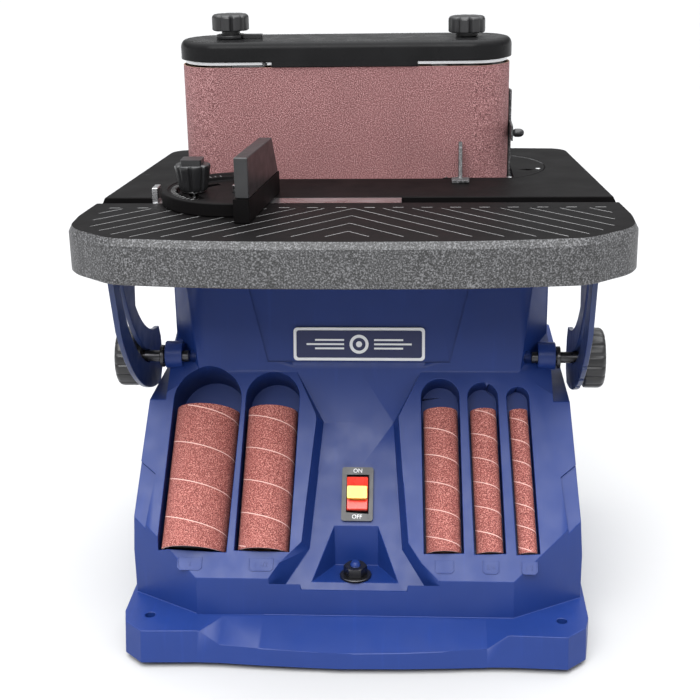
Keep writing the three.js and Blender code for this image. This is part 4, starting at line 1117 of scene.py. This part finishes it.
def lying(node):
    """Centre, direction, half length and radius of a straight tube, worked out from its mesh."""
    points = np.array([vert.co for vert in frame["nodes"][node].data.vertices]) / MM
    mean = points.mean(0)
    axes = np.linalg.eigh(np.cov((points - mean).T))[1]
    direction = axes[:, 2] * (1 if axes[2, 2] > 0 else -1)
    along = (points - mean) @ direction
    middle = mean + direction * (along.max() + along.min()) / 2
    off_axis = points - middle - np.outer((points - middle) @ direction, direction)
    radius = np.linalg.norm(off_axis, axis=1).max()
    return Vector(middle), Vector(direction), (along.max() - along.min()) / 2, radius


def spiral_seam(radius, half, pitch, matrix):
    """Narrow pale ribbon, barely proud, where the spiral-wound abrasive meets itself."""
    wide = 0.9
    proud = 0.1
    deep = 0.3
    lip = 0.15
    margin = 0.6
    steps = int(2 * half / pitch * 64)
    section = [(-deep, 0), (proud, lip), (proud, wide - lip), (-deep, wide)]
    bm = bmesh.new()
    rows = []
    for i in range(steps + 1):
        h = -half + margin + (2 * half - 2 * margin - wide) * i / steps
        a = 2 * pi * h / pitch
        spoke = Vector((cos(a), -sin(a), 0))
        corners = [spoke * (radius + out) + Vector((0, 0, h + up)) for out, up in section]
        rows.append([bm.verts.new((matrix @ corner) * MM) for corner in corners])
    for first, second in zip(rows, rows[1:]):
        for k in range(4):
            bm.faces.new((first[k], first[(k + 1) % 4], second[(k + 1) % 4], second[k]))
    bm.faces.new(rows[0])
    bm.faces.new(rows[-1])
    bmesh.ops.recalc_face_normals(bm, faces=bm.faces)
    return bm


def make_sleeve(node):
    middle, direction, half, radius = lying(node)
    place = axis_to(direction, middle)
    wall = 1.3
    profile = even_section([(radius - wall, 0), (radius - 0.2, 0), (radius, 0.3)], -half, half)
    made = piece_of(node + "_fine", lathe(profile, place, 96), "red_abrasive", "backing", "seam")
    for face in made.data.polygons:
        local = place.inverted() @ (face.center / MM)
        if hypot(local.x, local.y) < radius - 0.6 * wall:
            face.material_index = 1
        elif abs(local.z) > half - 0.01:
            face.material_index = 2
    stand_for(softened(made, 0, smooth=30), node)
    seam = piece_of(node + "_seam", spiral_seam(radius, half, 12 + 0.36 * 2 * radius, place), "seam")
    added_to(node, softened(seam, 0, smooth=60))


def make_size_tab(node, label):
    """Raised frame under a pocket, with the sleeve's size inside it."""
    middle, direction, half, radius = lying(node)
    foot = SLOPE.inverted() @ (middle - direction * (half + 12))
    place = SLOPE @ Matrix.Translation(foot.xy.to_3d())
    wide = max(6.2, min(9.5, radius * 0.55))
    plate = [(-wide, 5.5), (-wide, -2.5), (-wide + 2, -4.5), (wide - 2, -4.5), (wide, -2.5), (wide, 5.5)]
    inner = [(x * (wide - 0.8) / wide, y + (0.8 if y < 0 else 2)) for x, y in plate]
    rim = piece_of(node + "_tab", prism(plate, -0.4, 0.7, place), "blue_plastic")
    carved(rim, prism(inner, 0.25, 2, place))
    added_to("housing", softened(rim, 0.15, 2, angle=50))
    spot = place @ moved_to(0, 0.6, 0.35)
    lettering(node + "_size", label, 5.2, 0.5, spot, "blue_plastic", "housing")


def make_rubber_drum():
    middle, direction, half, radius = lying("rubber_drum_2in")
    profile = [
        (6, -half), (radius - 4, -half), (radius - 3.6, -half + 0.8), (radius - 2.4, -half + 0.8),
        (radius - 1, -half), (radius, -half + 1), (radius, half - 1), (radius - 1, half), (6.6, half),
        (6, half - 0.6), (6, -half),
    ]
    made = piece_of("rubber_drum_fine", lathe(profile, axis_to(direction, middle), 96), "rubber")
    stand_for(softened(made, 0, smooth=30), "rubber_drum_2in")


# -------- switch, badge and storage stud

def make_switch_words():
    switch = SLOPE @ moved_to(0.6, 70.4, -CHANNEL_DEPTH)
    for name, word, y in (("switch_on", "ON", 18.5), ("switch_off", "OFF", -18.5)):
        spot = switch @ moved_to(0, y, 3.4)
        lettering(name, word, 4.6, 0.3, spot, "white_plastic", "switch_bezel")


def make_badge():
    """Blue field with a ring, a dot and three short lines at each side."""
    badge = NECK @ moved_to(0.5, 22.75, 0.4)
    field = outline([(-50.2, -11, 2), (50.2, -11, 2), (50.2, 11, 2), (-50.2, 11, 2)], 15)
    plate = piece_of("badge_field", prism(field, -0.2, 0.3, badge), "badge_blue")
    added_to("badge_plate", softened(plate, 0.1))
    motif = [lathe([(5.2, 0.2), (7.6, 0.2), (7.6, 0.6), (5.2, 0.6), (5.2, 0.2)], badge, 64),
             lathe([(0, 0.2), (2.4, 0.2), (2.4, 0.6), (0, 0.6)], badge, 48)]
    for side in (-1, 1):
        for row in (-3.4, 0, 3.4):
            ends = sorted((side * 12, side * (42 - abs(row) * 2)))
            motif.append(slab(ends[0], ends[1], row - 0.7, row + 0.7, 0.2, 0.6, badge))
    added_to("badge_plate", piece_of("badge_motif", together(*motif), "white_plastic"))


def make_storage_stud():
    _, low, high = span_of("storage_stud")
    thread = []
    thread_low = 58.5
    pitch = 1.0
    z = thread_low
    while z < high - 2.2:
        thread += [(3.45, z), (4.0, z + pitch / 2)]
        z += pitch
    foot = [(0, low), (4, low), (4, thread_low - 0.3)]
    point = [(3.4, high - 1.2), (2.6, high), (0, high)]
    turned_piece("storage_stud", foot + thread + point, steps=48)


def make_storage_washer():
    r, low, high = span_of("storage_washer")
    stud = box_of("storage_stud")[2]
    profile = [
        (4.4, low), (r - 0.4, low), (r, low + 0.4), (r, high - 0.5), (r - 0.5, high), (4.8, high),
        (4.4, high - 0.4), (4.4, low),
    ]
    turned_piece("storage_washer", profile, moved_to(stud.x, stud.y))


def make_storage_nut():
    """Hexagon nut with turned crowns."""
    _, low, high = span_of("storage_nut")
    stud = box_of("storage_stud")[2]
    place = moved_to(stud.x, stud.y)
    corner = 8 / cos(radians(30))
    turns = [radians(60 * k) for k in range(6)]
    hexagon = [(corner * cos(turn), corner * sin(turn)) for turn in turns]
    nut = piece_of("storage_nut_fine", prism(hexagon, low, high, place), "dark_steel")
    wide = corner + 0.3
    crowns = [(0, low - 1), (8.6, low - 1), (wide, low + 1), (wide, high - 1), (8.0, high + 0.3),
              (0, high + 0.3)]
    carved(nut, lathe(crowns, place, 96), "INTERSECT")
    bore = [(0, low - 1), (4.4, low - 1), (4.4, high + 1), (0, high + 1)]
    carved(nut, lathe(bore, place, 48))
    stand_for(softened(nut, 0.25, 2, angle=25), "storage_nut")


# -------- assembly

LOOKS = make_materials()
make_camera()
make_studio()
make_rounded()
make_feet()
make_drums()
make_spindle()
make_bearings()
make_motor_can()
make_dust_port()
make_cord_gland()
make_guard_knob()
make_guide_rods()
make_trunnion_studs()
make_belt()
make_splice()
make_cover()
make_guard()
make_drum_end()
make_spring_hook()
make_spring()
make_top_knobs()
make_tilt_knobs()
make_table()
make_insert()
make_tilt_scale()
make_mitre_head()
make_mitre_knob()
for sleeve, size in zip(SLEEVES, SIZES):
    make_sleeve(sleeve)
    make_size_tab(sleeve, size)
make_rubber_drum()
make_switch_words()
make_badge()
make_storage_stud()
make_storage_washer()
make_storage_nut()
for node, cad_piece in frame["nodes"].items():
    dressed(cad_piece, SLOT_OF[node])

FLOOR_HALF = 40000
ground = piece_of("floor", slab(-FLOOR_HALF, FLOOR_HALF, -FLOOR_HALF, FLOOR_HALF, -1, -0.05), "floor")
